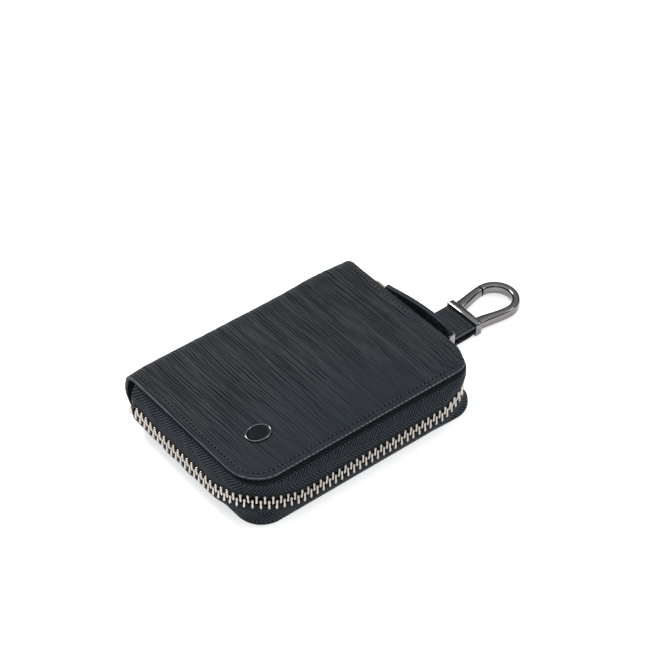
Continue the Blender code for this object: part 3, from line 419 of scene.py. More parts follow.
def stitch_pitch():
    return sizes().stitch_length + sizes().stitch_gap


def stitches(line, up, width=STITCH_WIDTH, length=None, shift=0.5):
    """A row of sewn stitches: small round-ended capsules laid along a line, half sunk in.

    Each capsule is a circle carried along its length, with a radius that falls to nothing at both
    ends. Every second one is turned a little, as a saddle stitch is. A shorter length and a shift
    of none give the needle holes between the stitches. The surface's normal is one direction, or a
    function that gives it at the stitches.
    """
    length = length or sizes().stitch_length
    total = travelled(line)[-1]
    count = int(total / stitch_pitch())
    spots, ahead = along_line(line, (np.arange(count) + shift) * total / count)
    up = unit(np.broadcast_to(up(spots) if callable(up) else up, spots.shape))
    side = unit(np.cross(up, ahead))
    lean = STITCH_LEAN * np.where(np.arange(count) % 2 == 0, 1, 0.4)[:, None]
    ahead = unit(ahead + side * lean)
    side = unit(np.cross(up, ahead))
    share = np.array([-1, -0.93, -0.7, -0.25, 0.25, 0.7, 0.93, 1.0])
    round_end = np.maximum(1 - np.abs(share) ** 5, 0.02) ** 0.5
    path = np.stack([share * length / 2, np.zeros(8), -STITCH_SINK * share ** 4], axis=-1)
    points, faces = tube(path, round_end * width / 2, 8)
    return repeated(points, faces, spots, np.stack([ahead, side, up], axis=1))


def outline_inset(outline, amount):
    """A closed outline moved inward along its own normals."""
    tangent = unit(np.roll(outline, -1, axis=0) - np.roll(outline, 1, axis=0))
    return outline + np.stack([-tangent[:, 1], tangent[:, 0]], axis=-1) * amount


def plate(outline, low, high, rim, steps=4):
    """A flat plate with rounded rims: rings of the outline, inset and lifted along quarter circles."""
    turns = np.linspace(0, np.pi / 2, steps + 1)
    lower = [(rim * (1 - math.sin(a)), low + rim * (1 - math.cos(a))) for a in turns]
    upper = [(rim * (1 - math.cos(a)), high - rim * (1 - math.sin(a))) for a in turns]
    return sweep(np.array([at_height(outline_inset(outline, inset), z) for inset, z in lower + upper]))


def standing_plate(outline, low, high, rim, steps=4):
    """A plate whose outline is drawn in Y and Z and whose thickness runs along X."""
    points, faces = plate(outline, low, high, rim, steps)
    return points[:, (2, 0, 1)], faces


def arc_points(centre, radius, start_deg, end_deg, steps):
    """Points on an arc, both ends included."""
    turn = np.radians(np.linspace(start_deg, end_deg, steps + 1))
    return np.column_stack([centre[0] + radius * np.cos(turn), centre[1] + radius * np.sin(turn)])


def rounded_box(low, high, radii, steps=6):
    """A rectangle's outline with one radius, or one for each corner from the lower left on."""
    spots = [((low[0], low[1]), (1, 1), 180), ((high[0], low[1]), (-1, 1), 270),
             ((high[0], high[1]), (-1, -1), 0), ((low[0], high[1]), (1, -1), 90)]
    parts = [arc_points((x + sx * r, y + sy * r), r, start, start + 90, steps)
             for ((x, y), (sx, sy), start), r in zip(spots, np.broadcast_to(radii, 4))]
    return np.concatenate(parts)


# Leather covers

COVER_COLUMNS = 561
SEAM_DEPTH = 0.00012
HOLE_WIDTH = 0.00046
HOLE_LENGTH = 0.00052
JOINT_GAP = 0.00003
EDGE_DIP = 0.00022
SEAM_DIP = 0.00010
SPINE_ENDS_THICKER = 0.0007
FRONT_RELIEF = 0.42
STRAP_SIDE_RELIEF = 0.4
TOP_SLIP_LEFT = 0.0014
TOP_SLIP_RIGHT = 0.0012
TOP_TUCK = 0.0007
TOP_CORNER_CUT = 0.0006
LOW_SPREAD_RIGHT = 0.0010
LOW_SPREAD_CORNER = 0.0009
LOW_SPREAD_FRONT = 0.0005
LOW_DRAW_IN = 0.0006
FOLD_PUFF = 0.0007
FOLD_PUFF_RIGHT = 0.0006
SPINE_END_OUT = 0.0013


def groove_set(x, t, gap, width, seed):
    """Depth of one set of grooves, from 0 between them to 1 in the deepest.

    The grooves run along t at random gaps in x. All of them wave a little with one soft random
    field, each adds a slow sine of its own, and each fades in and out along its run.
    """
    chance = np.random.default_rng(seed)
    low, high = x.min() - gap, x.max() + gap
    spots = low + np.cumsum(gap * chance.uniform(0.45, 1.55, int((high - low) / gap * 1.1)))
    spots = spots[spots < high]
    wave = gap * 0.22 * ripple(x, t, 0.060, 0.060, seed + 1)
    depth = np.zeros_like(x)
    for spot in spots:
        phase = chance.uniform(0, 2 * np.pi, 3)
        line = spot + wave + gap * 0.13 * np.sin(t / 0.0065 + phase[0])
        fade = np.clip(0.70 + 0.50 * np.sin(t / 0.0080 + phase[1]), 0.05, 1) * chance.uniform(0.45, 1)
        wide = width * chance.uniform(0.7, 1.4) * (1 + 0.3 * np.sin(t / 0.012 + phase[2]))
        depth = np.maximum(depth, fade * np.exp(-np.abs((x - line) / wide) ** 1.6))
    return depth


def ridge_field(x, t):
    """Height of the leather's long ridges, 0 in a groove and 1 on a ridge.

    Grooves lie between the ridges, and every few ridges swell and sink together.
    """
    pitch = sizes().ridge_pitch
    grooves = groove_set(x, t, pitch, pitch * 0.22, 3)
    swell = 0.5 + 0.5 * np.clip(ripple(x, t, 0.0055, 0.090, 43), -1, 1)
    return np.clip(1 - 0.60 * grooves - 0.25 * swell, 0, 1)


def outline_shift(x, y, z):
    """How far the soft covers stray from their plain outline, in X and in Y, at any height.

    The top has slipped a little to the left over the bottom and its right front corner is
    tighter. The bottom spreads toward the front and its right corner, and is drawn in on the
    left. The spine and the sides pass smoothly from one to the other.
    """
    high = eased((z - 0.003) / (CASE_HEIGHT - 0.006))
    right = eased(x / HALF_WIDTH)
    left = eased(-x / HALF_WIDTH)
    from_front = y + HALF_DEPTH
    left_slip = TOP_SLIP_LEFT * eased((from_front - 0.001) / 0.015) * left
    right_slip = TOP_SLIP_RIGHT * eased((from_front - 0.0005) / 0.006) * right
    tuck = TOP_TUCK * bell(y, -0.0345, 0.0040) * right
    corner = TOP_CORNER_CUT * bell(x, 0.0525, 0.0040) * eased((-0.029 - y) / 0.007)
    side_spread = LOW_SPREAD_RIGHT * eased(-y / 0.030) + LOW_SPREAD_CORNER * eased((-0.030 - y) / 0.006)
    spread_x = side_spread * right
    spread_y = LOW_SPREAD_FRONT * eased(-y / 0.040) * (1 + eased((x - 0.030) / 0.015))
    draw_in = LOW_DRAW_IN * eased((0.020 - y) / 0.020) * left * eased(from_front / 0.012)
    shift_x = (spread_x + draw_in) * (1 - high) - (left_slip + right_slip + tuck) * high
    return shift_x, -corner * high - spread_y * (1 - high)


def spine_swell(x, t, upper):
    """How far the soft spine stands out from the solid's face, along its normal.

    It puffs out at the top fold. Close to the left end the section turns into a rounder arc: out
    at the middle of the height and in at the folds. Both are bells over the way t along it.
    """
    end = eased((-x - 0.0455) / 0.0105)
    crest = FOLD_PUFF + FOLD_PUFF_RIGHT * bell(x, 0.037, 0.012)
    fold = crest * np.sin(np.pi * np.clip(t / 0.020, 0, 1)) ** 1.5 * upper
    if upper:
        round_end = SPINE_END_OUT * bell(t, 0, 0.0050) - 0.0005 * bell(t, 0.0075, 0.0025)
    else:
        round_end = SPINE_END_OUT * bell(t, 0, 0.0040) - 0.0020 * bell(t, 0.0095, 0.0038)
    return fold * (1 - 0.6 * end) + round_end * end


def edge_reach(x, y):
    """Way from the middle of the cover's corner circle, or from the line through it, to a point.

    Its length equals the corner radius on the cover's edge, so it also gives the distance to it.
    """
    over_x = np.maximum(np.abs(x) - BEND_X, 0) * np.sign(x)
    over_y = np.minimum(y - BEND_Y, 0)
    return over_x, over_y


def half_width(y, radius):
    """Half the width of a cover's outline at each Y, for the radius that an inset leaves the corners."""
    arc = np.sqrt(np.maximum(radius ** 2 - (y - BEND_Y) ** 2, 0))
    return BEND_X + np.where(y < BEND_Y, arc, radius)


def turn_over(*grids):
    """Moves points made for the upper half of the case to the lower half, or back."""
    for points in grids:
        points[..., 2] = CASE_HEIGHT - points[..., 2]


def cover_grid(upper):
    """The outer leather of half the case, from the middle of the spine to the front edge.

    Rows follow the profile: up the spine, round the fold and along the cover. Columns run from
    side to side, and close in along the two corner arcs. The face dips slightly toward the seam
    and carries the ridges, cut inward from the solid's face. The leather is thicker at the
    spine's ends. Gives what skin needs, then the ridges and the place and relief of the grain.
    """
    inset = sizes().edge_round
    wall = MIDDLE_HEIGHT - FOLD_RADIUS
    fold = FOLD_RADIUS * np.pi / 2
    corner_start = FOLD_Y - BEND_Y
    radius = CORNER_RADIUS - inset
    t_flat = np.linspace(0, corner_start, 46)[1:]
    t_corner = corner_start + radius * np.sin(np.linspace(0, np.pi / 2, 16)[1:])
    t = np.concatenate([np.linspace(JOINT_GAP, wall, 5), wall + np.linspace(0, fold, 15)[1:],
                        wall + fold + np.concatenate([t_flat, t_corner])])
    bend = np.clip((t - wall) / FOLD_RADIUS, 0, np.pi / 2)
    y = np.where(t < wall + fold, FOLD_Y + FOLD_RADIUS * np.cos(bend), FOLD_Y - (t - wall - fold))
    z = np.where(t < wall, MIDDLE_HEIGHT + t, CASE_HEIGHT - FOLD_RADIUS + FOLD_RADIUS * np.sin(bend))
    x = half_width(y, radius)[:, None] * np.linspace(-1, 1, COVER_COLUMNS)
    t, y, z, bend = (np.broadcast_to(values[:, None], x.shape) for values in (t, y, z, bend))
    way = t if upper else -t
    over_x, over_y = edge_reach(x, y)
    distance = np.clip(CORNER_RADIUS - np.hypot(over_x, over_y), 0, None)
    ridge = ridge_field(x, way)
    seam = bell(distance, sizes().stitch_inset, 0.0005)
    dip = EDGE_DIP * np.exp(-distance / 0.0030) + SEAM_DIP * seam
    calm = np.clip(distance / 0.0012, 0.35, 1)
    near_spine = eased((y + 0.040) / 0.050)
    near_strap = eased((x - 0.022) / 0.022)
    # The relief also sets the material's colour: darker and bluer toward the front, partly painted shade.
    relief = FRONT_RELIEF + (1 - FRONT_RELIEF) * near_spine + STRAP_SIDE_RELIEF * near_strap
    fading = np.minimum(relief, 1)
    puff = spine_swell(x, t, upper)
    depth = dip + sizes().ridge_depth * fading * (1 - ridge) * calm - puff
    thick = LEATHER + SPINE_ENDS_THICKER * np.exp(-distance / 0.0012) * np.exp(-(t / 0.030) ** 4)
    normal = np.stack([np.zeros_like(x), np.cos(bend), np.sin(bend)], axis=-1)
    shift_x, shift_y = outline_shift(x, y, z if upper else CASE_HEIGHT - z)
    base = np.stack([x + shift_x, y + shift_y, z], axis=-1)
    outer = base - normal * depth[..., None]
    inner = base - normal * (thick - puff)[..., None]
    if not upper:
        turn_over(outer, inner)
    outward = unit(np.stack([over_x, over_y, np.zeros_like(x)], axis=-1))
    outward[0, 1:-1] = (0, 0, -1 if upper else 1)
    rim = np.full(x.shape, inset)
    rim[0, 1:-1] = JOINT_GAP
    return outer, inner, rim, outward, 1 - (1 - ridge) * fading, np.stack([x, way, fading], axis=-1)


def make_cover(name, upper):
    """One half of the outer leather, with its ridges and its painted edges.

    The paint carries a painted highlight, broken by puckers beside the stitches of the front, and is left
    out where the two halves meet in the middle of the spine.
    """
    *sheet, ridge, run = cover_grid(upper)
    points, faces, owner, depth = skin(*sheet)
    ridges = np.where(depth > INNER_FACE, 0.5, ridge.reshape(-1)[owner])
    # Puckers break the painted highlight along the front edge at the stitch pitch.
    wave = np.sin(points[:, 0] * 2 * np.pi / stitch_pitch())
    puckers = np.where(points[:, 1] < BEND_Y, 0.62 + 0.38 * wave, 0.5)
    joint_line = (np.abs(points[:, 2] - MIDDLE_HEIGHT) < 0.0004) & (np.abs(points[:, 0]) < HALF_WIDTH - 0.001)
    paint = painted_edge(depth, np.where(joint_line, 0, puckers))
    return make_piece(name, points, faces, [navy_ridged_leather()],
                      attributes={"ridge": ridges, "edge_paint_and_highlight": paint, "run": run.reshape(-1, 3)[owner]})


def painted_edge(depth, puckers):
    """Paint on a cut edge with a painted highlight: a bright line on its upper round where the light catches
    it, broken by puckers, and dull below.
    """
    bright = bell(depth, 0.72, 0.11) * np.clip(puckers, 0, 1)
    return np.where(depth < INNER_FACE, bright, 0)


def cover_seam(upper):
    """The line that the cover's edge is sewn along: up one side, round the front and back."""
    radius = CORNER_RADIUS - sizes().stitch_inset
    fold = np.radians(np.linspace(50, 90, 9))
    left = np.column_stack([np.full(9, -BEND_X - radius), FOLD_Y + FOLD_RADIUS * np.cos(fold),
                            CASE_HEIGHT - FOLD_RADIUS + FOLD_RADIUS * np.sin(fold)])
    flat = np.concatenate([arc_points((-BEND_X, BEND_Y), radius, 180, 270, 12),
                           arc_points((BEND_X, BEND_Y), radius, 270, 360, 12)])
    line = np.concatenate([left, at_height(flat, CASE_HEIGHT), left[::-1] * (-1, 1, 1)])
    line[:, 2] -= SEAM_DEPTH
    if not upper:
        turn_over(line)
    line[:, :2] += np.stack(outline_shift(*line.T), axis=-1)
    return line


def make_cover_stitching(name, upper):
    """The stitches along a cover's edge, with the needle holes between them drawn as near-black patches of
    painted shade.
    """
    middle_z = CASE_HEIGHT - FOLD_RADIUS if upper else FOLD_RADIUS

    def normal(spots):
        bent = np.maximum(spots[:, 1] - FOLD_Y, 0)
        rise = np.where(bent > 0, spots[:, 2] - middle_z, 1 if upper else -1)
        return np.column_stack([np.zeros(len(spots)), bent, rise])

    line = cover_seam(upper)
    thread = stitches(line, normal)
    holes = stitches(line, normal, width=HOLE_WIDTH, length=HOLE_LENGTH, shift=0)
    points, faces = joined(thread, holes)
    in_hole = np.arange(len(faces)) >= len(thread[1])
    return make_piece(name, points, faces, [sewing_thread(), needle_hole_shade()], in_hole)


class DressCovers(bpy.types.Operator):
    """Makes the outer leather of both covers with its edge stitching"""
    bl_idname = "key_holder.covers"
    bl_label = "Leather covers"

    def execute(self, context):
        front = make_cover("front_cover_leather", True)
        back = make_cover("back_cover_leather", False)
        front_seam = make_cover_stitching("front_cover_stitches", True)
        back_seam = make_cover_stitching("back_cover_stitches", False)
        for piece in (front, front_seam):
            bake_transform(piece)
        for piece in (back, back_seam):
            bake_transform(piece)
        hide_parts("front_leather", "spine_leather")
        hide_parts("back_leather")
        return {"FINISHED"}


# Lining

LINING_PUFF = 0.00015
SPINE_LINING_INSET = 0.0047
BINDING = 0.0005


def make_lining(name, mirrored):
    """A cover's lining: a panel that follows the cover's outline at an inset, with a soft puff.

    The puff rises from the edge as one minus an exponential of the distance to it.
    """
    radius = CORNER_RADIUS - LINING_INSET - 0.0002
    turn = np.linspace(0, np.pi / 2, 10)[1:]
    y = np.concatenate([np.linspace(FOLD_Y, BEND_Y, 40), BEND_Y - radius * np.sin(turn)])
    x = half_width(y, radius)[:, None] * np.linspace(-1, 1, 60)
    y = np.broadcast_to(y[:, None], x.shape)
    over_x, over_y = edge_reach(x, y)
    distance = np.minimum(radius - np.hypot(over_x, over_y), FOLD_Y - y)
    rise = LINING_PUFF * (1 - np.exp(-np.clip(distance, 0, None) / 0.003))
    outer = np.stack([x, y, LINING_LOW + LINING + rise], axis=-1)
    inner = np.stack([x, y, np.full(x.shape, LINING_LOW)], axis=-1)
    outward = unit(np.stack([over_x, over_y, np.zeros_like(x)], axis=-1) + 1e-9)
    outward[0, 1:-1] = (0, 1, 0)
    if mirrored:
        turn_over(outer, inner)
    points, faces, _, _ = skin(outer, inner, 0.0002, outward)
    return make_piece(name, points, faces, [lining_cloth()])


def make_spine_lining():
    """The spine's lining: a band that stands at the back and turns in at the top and the bottom."""
    radius = FOLD_RADIUS - LINING_LOW
    turn = np.radians(np.linspace(52, 90, 8)) - np.pi / 2
    lower_y = FOLD_Y + radius * np.cos(turn)
    lower_z = FOLD_RADIUS + radius * np.sin(turn)
    y = np.concatenate([lower_y, np.full(4, HALF_DEPTH - LINING_LOW), lower_y[::-1]])
    z = np.concatenate([lower_z, np.linspace(FOLD_RADIUS, CASE_HEIGHT - FOLD_RADIUS, 6)[1:-1],
                        CASE_HEIGHT - lower_z[::-1]])
    x = np.linspace(-1, 1, 50) * (HALF_WIDTH - SPINE_LINING_INSET)
    line = np.stack([y, z], axis=-1)
    grids = []
    for profile in (line - line_normals(line) * LINING, line):
        y, z = profile.T[..., None]
        grids.append(np.stack(np.broadcast_arrays(x, y, z), axis=-1))
    points, faces, _, _ = skin(*grids, 0.00015)
    return make_piece("spine_lining_cloth", points, faces, [lining_cloth()])


def make_pocket():
    """The slip pocket on the front cover's lining, with a bound opening and sewn rows."""
    low, high = (np.array(corner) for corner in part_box("slip_pocket"))
    corner = 0.006
    outline = rounded_box(low[:2], high[:2], (corner, corner, 0.0006, 0.0006), 6)
    panel = make_piece("slip_pocket_cloth", *plate(outline, low[2], high[2], 0.0002), [lining_cloth()])
    keep_sharp(panel, 40)
    strip = rounded_box((low[0] + 0.0004, high[1] - 0.006), (high[0] - 0.0004, high[1] + 0.0001), 0.0008, 4)
    face = low[2] - BINDING
    binding = make_piece("slip_pocket_binding", *plate(strip, face, low[2] + 0.0002, 0.0002),
                         [smooth_leather()])
    lines = [np.array([(low[0] + 0.002, y, face), (high[0] - 0.002, y, face)])
             for y in (high[1] - 0.0050, high[1] - 0.0012)]
    inset = 0.0018
    edge = rounded_box(low[:2] + inset, high[:2] - (inset, 0.007), (corner - inset,) * 2 + (0.0004,) * 2, 6)
    lines.append(at_height(np.concatenate([edge[-7:], edge[:21]]), low[2]))
    rows = [stitches(line, (0, 0, -1)) for line in lines]
    return panel, binding, make_piece("slip_pocket_stitches", *joined(*rows), [sewing_thread()])


class DressLinings(bpy.types.Operator):
    """Makes the linings and the slip pocket"""
    bl_idname = "key_holder.linings"
    bl_label = "Linings and pocket"

    def execute(self, context):
        back = make_lining("back_lining_cloth", False)
        front = make_lining("front_lining_cloth", True)
        spine = make_spine_lining()
        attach(back, "back_cover")
        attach(front, "front_cover")
        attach(spine, "spine")
        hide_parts("back_lining")
        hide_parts("front_lining")
        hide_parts("spine_lining")
        pocket = make_pocket()
        for piece in pocket:
            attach(piece, "front_cover")
        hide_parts("slip_pocket")
        return {"FINISHED"}


# Zip

def path_spans():
    """Lengths of the zip's path: one side, one corner and the front."""
    return TAPE_END_Y - BEND_Y, CORNER_RADIUS * np.pi / 2, BEND_X * 2


def path_length():
    """The whole length of the zip's path."""
    side, corner, front = path_spans()
    return side * 2 + corner * 2 + front


def chain_place(distance):
    """The chain's heights and outsets at distances along the path.

    Knots give both at the ends, the corners and between them, joined by smooth steps: the chain
    sags and bulges on the left and front, is drawn in at the corners and is level on the right.
    """
    side, corner, front = path_spans()
    left_corner = side + corner / 2
    right_corner = side + corner * 1.5 + front
    knots = np.array([
        (0, -START_SAG, LEFT_OUTSET),
        (CHAIN_EASE, -LEFT_SAG, LEFT_OUTSET),
        (left_corner - CHAIN_EASE, -LEFT_SAG, LEFT_OUTSET),
        (left_corner, CORNER_RAISE, CORNER_OUTSET),
        (left_corner + CHAIN_EASE, -FRONT_SAG, FRONT_OUTSET),
        (right_corner - CHAIN_EASE, -FRONT_SAG, FRONT_OUTSET),
        (right_corner, 0, -CORNER_TUCK),
        (right_corner + CHAIN_END_EASE, 0, CHAIN_OUTSET),
        (path_length(), 0, CHAIN_OUTSET)])
    span = np.clip(np.searchsorted(knots[:, 0], distance, side="left") - 1, 0, len(knots) - 2)
    before, after = knots[span], knots[span + 1]
    share = eased((distance - before[:, 0]) / (after[:, 0] - before[:, 0]))
    height, outset = (before[:, 1:] + (after[:, 1:] - before[:, 1:]) * share[:, None]).T
    return CHAIN_HEIGHT + height, outset


def zip_path(distance):
    """The zip's path at an array of distances from its left end.

    The path runs down the left side, round the corners and along the front, and up the right side:
    a point that moves on straight lines plus the corner radius times the turning outward direction.
    Gives the points, the outward directions, the chain's heights and its outsets.
    """
    side, corner, front = path_spans()
    turn_left = np.clip((distance - side) / CORNER_RADIUS, 0, np.pi / 2)
    turn_right = np.clip((distance - side - corner - front) / CORNER_RADIUS, 0, np.pi / 2)
    turn = turn_left + turn_right
    outward = np.stack([-np.cos(turn), -np.sin(turn)], axis=-1)
    x = -BEND_X + np.clip(distance - side - corner, 0, front)
    y = TAPE_END_Y - np.clip(distance, None, side) + np.clip(distance - side - corner * 2 - front, 0, None)
    return np.stack([x, y], axis=-1) + outward * CORNER_RADIUS, outward, *chain_place(distance)


def cut_corners(line):
    """One round of corner cutting along the second axis: each edge keeps its middle half."""
    near = line[:, :-1] * 0.75 + line[:, 1:] * 0.25
    far = line[:, :-1] * 0.25 + line[:, 1:] * 0.75
    between = np.stack([near, far], axis=2).reshape(line.shape[0], -1, line.shape[2])
    return np.concatenate([line[:, :1], between, line[:, -1:]], axis=1)


def chain_line(distance):
    """Points in the middle of the chain at distances along the path."""
    points, outward, height, outset = zip_path(distance)
    return np.column_stack([points + outward * outset[:, None], height])


def outside(distance):
    """1 on the left side and the front, easing to 0 on the right side, where the strap leaves."""
    side, corner, front = path_spans()
    return 1 - eased((distance - side - corner - front) / corner)


def tape_section(distance, upper):
    """The tape's section at distances along the path: offsets outward from it, and heights.

    It is the sewn flange, a turn, a wall that leans out as a sine of its climb, and a straight end
    into the cord beside the teeth. The wall has small slow waves. On the upper tape it bellies out
    at the right corner. The lower tape's turn stands further out and lower on the front and the
    left, as a hem that laps over the cover's edge.
    """
    side, corner, front = path_spans()
    points, outward, height, outset = zip_path(distance)
    chain = CASE_HEIGHT - height if upper else height
    hem = outside(distance) * eased((distance - side * 0.8) / corner)
    end_share = bell(distance, 0, 0.0060)
    inset = TURN_INSET - (TAPE_END_REACH * end_share if upper else HEM_REACH * hem)
    shift_x, shift_y = outline_shift(*points.T, CASE_HEIGHT * upper)
    edge = shift_x * outward[:, 0] + shift_y * outward[:, 1] - inset
    climb = np.linspace(0, 1, 9)
    bow = np.sin(climb * np.pi)
    belly = TAPE_BELLY * bell(distance, side + corner * 1.5 + front, 0.010) * upper
    way, level = np.meshgrid(distance, 0.01 * climb, indexing="ij")
    wave = TAPE_WAVE * ripple(way, level, 0.016, 0.008, 41 + upper)
    wall_offset = edge[:, None] + (outset - edge)[:, None] * np.sin(climb * np.pi / 2) ** 0.75
    wall_offset = wall_offset + belly[:, None] * bow ** 0.6 + wave * bow
    middle = LAYER_LOW + TAPE / 2
    foot = middle + TURN_RISE - (0 if upper else HEM_DROP) * outside(distance)[:, None]
    wall_height = foot + (chain[:, None] - TAPE_GAP - foot) * climb
    flange = np.ones((len(distance), 1))
    offsets = np.concatenate([-FLANGE_REACH * flange, edge[:, None] - (TURN_START - TURN_INSET), wall_offset,
                              outset[:, None]], axis=1)
    heights = np.concatenate([middle * flange, middle * flange, wall_height, chain[:, None] - CORD_OFFSET],
                             axis=1)
    return cut_corners(cut_corners(np.stack([offsets, heights], axis=-1)))


def make_tape(name, upper):
    """A zip tape: its section carried along the path, with the attributes that its cloth reads.

    weave holds the way along the tape, the way across it and how near its cut end is, where a painted
    highlight lies. shade is painted shade, high on the strip beside the cord.
    """
    distance = np.linspace(0, path_length(), 460)
    points, outward, _, _ = zip_path(distance)
    line = tape_section(distance, upper)
    normal = line_normals(line)
    grids = []
    for face in (line + normal * TAPE / 2, line - normal * TAPE / 2):
        flat = points[:, None] + outward[:, None] * face[..., :1]
        grids.append(np.concatenate([flat, face[..., 1:]], axis=-1))
    if upper:
        turn_over(*grids)
    points, faces, owner, _ = skin(*grids, 0.00012, steps=2)
    across = travelled(line)
    from_cord = across[:, -1:] - across
    # A painted highlight: the tape is pale at its cut end, standing for its lit edge.
    cut_end_highlight = np.exp(-(distance[:, None] / 0.0006) ** 4) * np.ones_like(across)
    if upper:
        cut_end_highlight = cut_end_highlight * eased((across - 0.8 * across[:, -1:]) / 0.002)
    weave = np.stack([np.broadcast_to(distance[:, None], across.shape), across, cut_end_highlight], axis=-1)
    # Painted shade on the strip beside the cord, where the teeth shade the tape.
    shade = 0.75 * eased((SHADED_STRIP - from_cord) / 0.0014) * outside(distance)[:, None]
    return make_piece(name, points, faces, [herringbone_tape()],
                      attributes={"weave": weave.reshape(-1, 3)[owner], "shade": shade.reshape(-1)[owner]})


def tooth_shape():
    """One tooth as an upright bar: superellipse sections that change along its height.

    It has a rounded head below the chain's middle, a narrower neck and two legs drawn as one
    broader foot, and its height runs from the head at minus one to the foot at plus 3.4 mm.
    """
    levels = np.array([-1.00, -0.90, -0.55, 0.20, 0.75, 1.35, 1.90, 3.00, 3.30, 3.40]) * 0.001
    along = np.array([0.30, 0.46, 0.54, 0.52, 0.42, 0.40, 0.48, 0.52, 0.46, 0.28]) * 0.001
    out = np.array([0.50, 0.85, 1.02, 1.04, 1.02, 1.08, 1.20, 1.22, 1.12, 0.80]) * 0.001
    ring_a, ring_b = superellipse(12, 0.55)
    rings = [along[:, None] * ring_a, out[:, None] * ring_b, levels[:, None]]
    return sweep(np.stack(np.broadcast_arrays(*rings), axis=-1))


def make_teeth(name, upper):
    """A row of teeth, evenly spaced along the chain as it lies, each tilted a little by chance."""
    fine = np.linspace(CORD_START + TOOTH_PITCH * 0.5, path_length() - TEETH_END_SET, 2000)
    reached = travelled(chain_line(fine))
    count = int(reached[-1] / TOOTH_PITCH)
    spots = (TOOTH_PITCH / 2 if upper else 0) + np.arange(count) * TOOTH_PITCH
    distance = np.interp(spots, reached, fine)
    outward = zip_path(distance)[1]
    out = at_height(outward, 0.0)
    along = np.stack([-outward[:, 1], outward[:, 0], np.zeros(count)], axis=-1)
    tilt = np.random.default_rng(7 + upper).normal(0, 0.035, (count, 1))
    up = unit(np.array((0.0, 0.0, 1.0 if upper else -1.0)) + along * tilt)
    teeth = repeated(*tooth_shape(), chain_line(distance), np.stack([along, out, up], axis=1))
    return make_piece(name, *teeth, [polished_nickel()])


def make_cord(name, upper):
    """The corded edge of a tape, a round tube along the path beside the teeth's heads."""
    distance = np.linspace(CORD_START, path_length() - CORD_START, 420)
    path = chain_line(distance)
    path[:, 2] += CORD_OFFSET if upper else -CORD_OFFSET
    sides = 10
    points, faces = tube(path, CORD_RADIUS, sides)
    weave = np.repeat(np.stack([distance, distance * 0 + 0.012, distance * 0], axis=-1), sides, axis=0)
    # The cord takes half of the painted shade.
    return make_piece(name, points, faces, [herringbone_tape()],
                      attributes={"weave": weave, "shade": np.full(len(weave), 0.5)})


class DressZip(bpy.types.Operator):
    """Makes both zip tapes with their cords and teeth"""
    bl_idname = "key_holder.zip"
    bl_label = "Zip tapes and teeth"

    def execute(self, context):
        for name, upper, body, tape, teeth in (
                ("upper", True, "front_cover", "upper_tape", "zip_teeth_upper"),
                ("lower", False, "back_cover", "lower_tape", "zip_teeth_lower")):
            cloth = make_tape(f"{name}_tape_cloth", upper)
            cord = make_cord(f"{name}_tape_cord", upper)
            row = make_teeth(f"{name}_teeth_metal", upper)
            for piece in (cloth, cord, row):
                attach(piece, body)
            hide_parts(tape)
            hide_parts(teeth)
        return {"FINISHED"}


# Slider and pull

SLIDER_LOW, SLIDER_HIGH = (np.array(corner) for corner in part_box("slider"))
SLIDER_Y = (SLIDER_LOW[1] + SLIDER_HIGH[1]) / 2
CHAIN_X = HALF_WIDTH + CHAIN_OUTSET
SLIDER_ROOM = 0.0016
SLIDER_PLATE = 0.0009
BRIDGE_TUNNEL = 0.0019
BRIDGE_LENGTH = 0.0084
BRIDGE_HALF_THICK = 0.0006
BRIDGE_HALF_WIDE = 0.0018
SLIDER_RIM = 0.00028
RAIL_OFFSET = 0.0041
LINK_RADIUS = 0.0006
TAB_SEAM_INSET = 0.0013
PULL_SPLAY = math.radians(6.8)
PULL_PIVOT = np.array([CHAIN_X + SLIDER_ROOM + SLIDER_PLATE + BRIDGE_TUNNEL / 2, SLIDER_Y, CHAIN_HEIGHT])
TAB_START = 0.0058
TAB_END = 0.0430
TAB_HALF_HEIGHT = 0.0050
TAB_HALF_THICKNESS = 0.00115
TAB_BOW = 0.00125
TAB_CURL = 0.0009
RING_REACH = 0.0078
RING_NEAR_HALF = 0.0046
RING_FAR_HALF = 0.0029
CLASP_LENGTH = 0.0015
CLASP_WALL = 0.0004
CLASP_LOW = 0.0046
CLASP_HIGH = 0.0022


def rounded_corners(outline, radius, steps):
    """An outline with each corner replaced by a curve between two points a radius away from it.

    The curve is a quadratic with the corner as its middle control point.
    """
    before = unit(np.roll(outline, 1, axis=0) - outline)
    after = unit(np.roll(outline, -1, axis=0) - outline)
    share = np.linspace(0, 1, steps + 1)[None, :, None]
    start = (outline + before * radius)[:, None]
    end = (outline + after * radius)[:, None]
    curve = start * (1 - share) ** 2 + outline[:, None] * 2 * share * (1 - share) + end * share ** 2
    return curve.reshape(-1, 2)


def refined(outline, longest):
    """An outline with points added so that no step is longer than a length."""
    closed = np.concatenate([outline, outline[:1]])
    parts = []
    for near, far in zip(closed, closed[1:]):
        count = max(int(np.ceil(np.linalg.norm(far - near) / longest)), 1)
        parts.append(near + (far - near) * np.linspace(0, 1, count, endpoint=False)[:, None])
    return np.concatenate(parts)


def splayed(points):
    """Moves a shape made about the pull's pivot to its place beside the case, with the tab's bow."""
    c, s = math.cos(PULL_SPLAY), math.sin(PULL_SPLAY)
    share = np.clip((-points[:, 1] - RING_REACH) / (TAB_END - RING_REACH), 0, 1)
    out = points[:, 0] + TAB_BOW * np.sin(np.pi * share) - TAB_CURL * share ** 2
    turned = np.column_stack([out * c - points[:, 1] * s, out * s + points[:, 1] * c, points[:, 2]])
    return turned + PULL_PIVOT


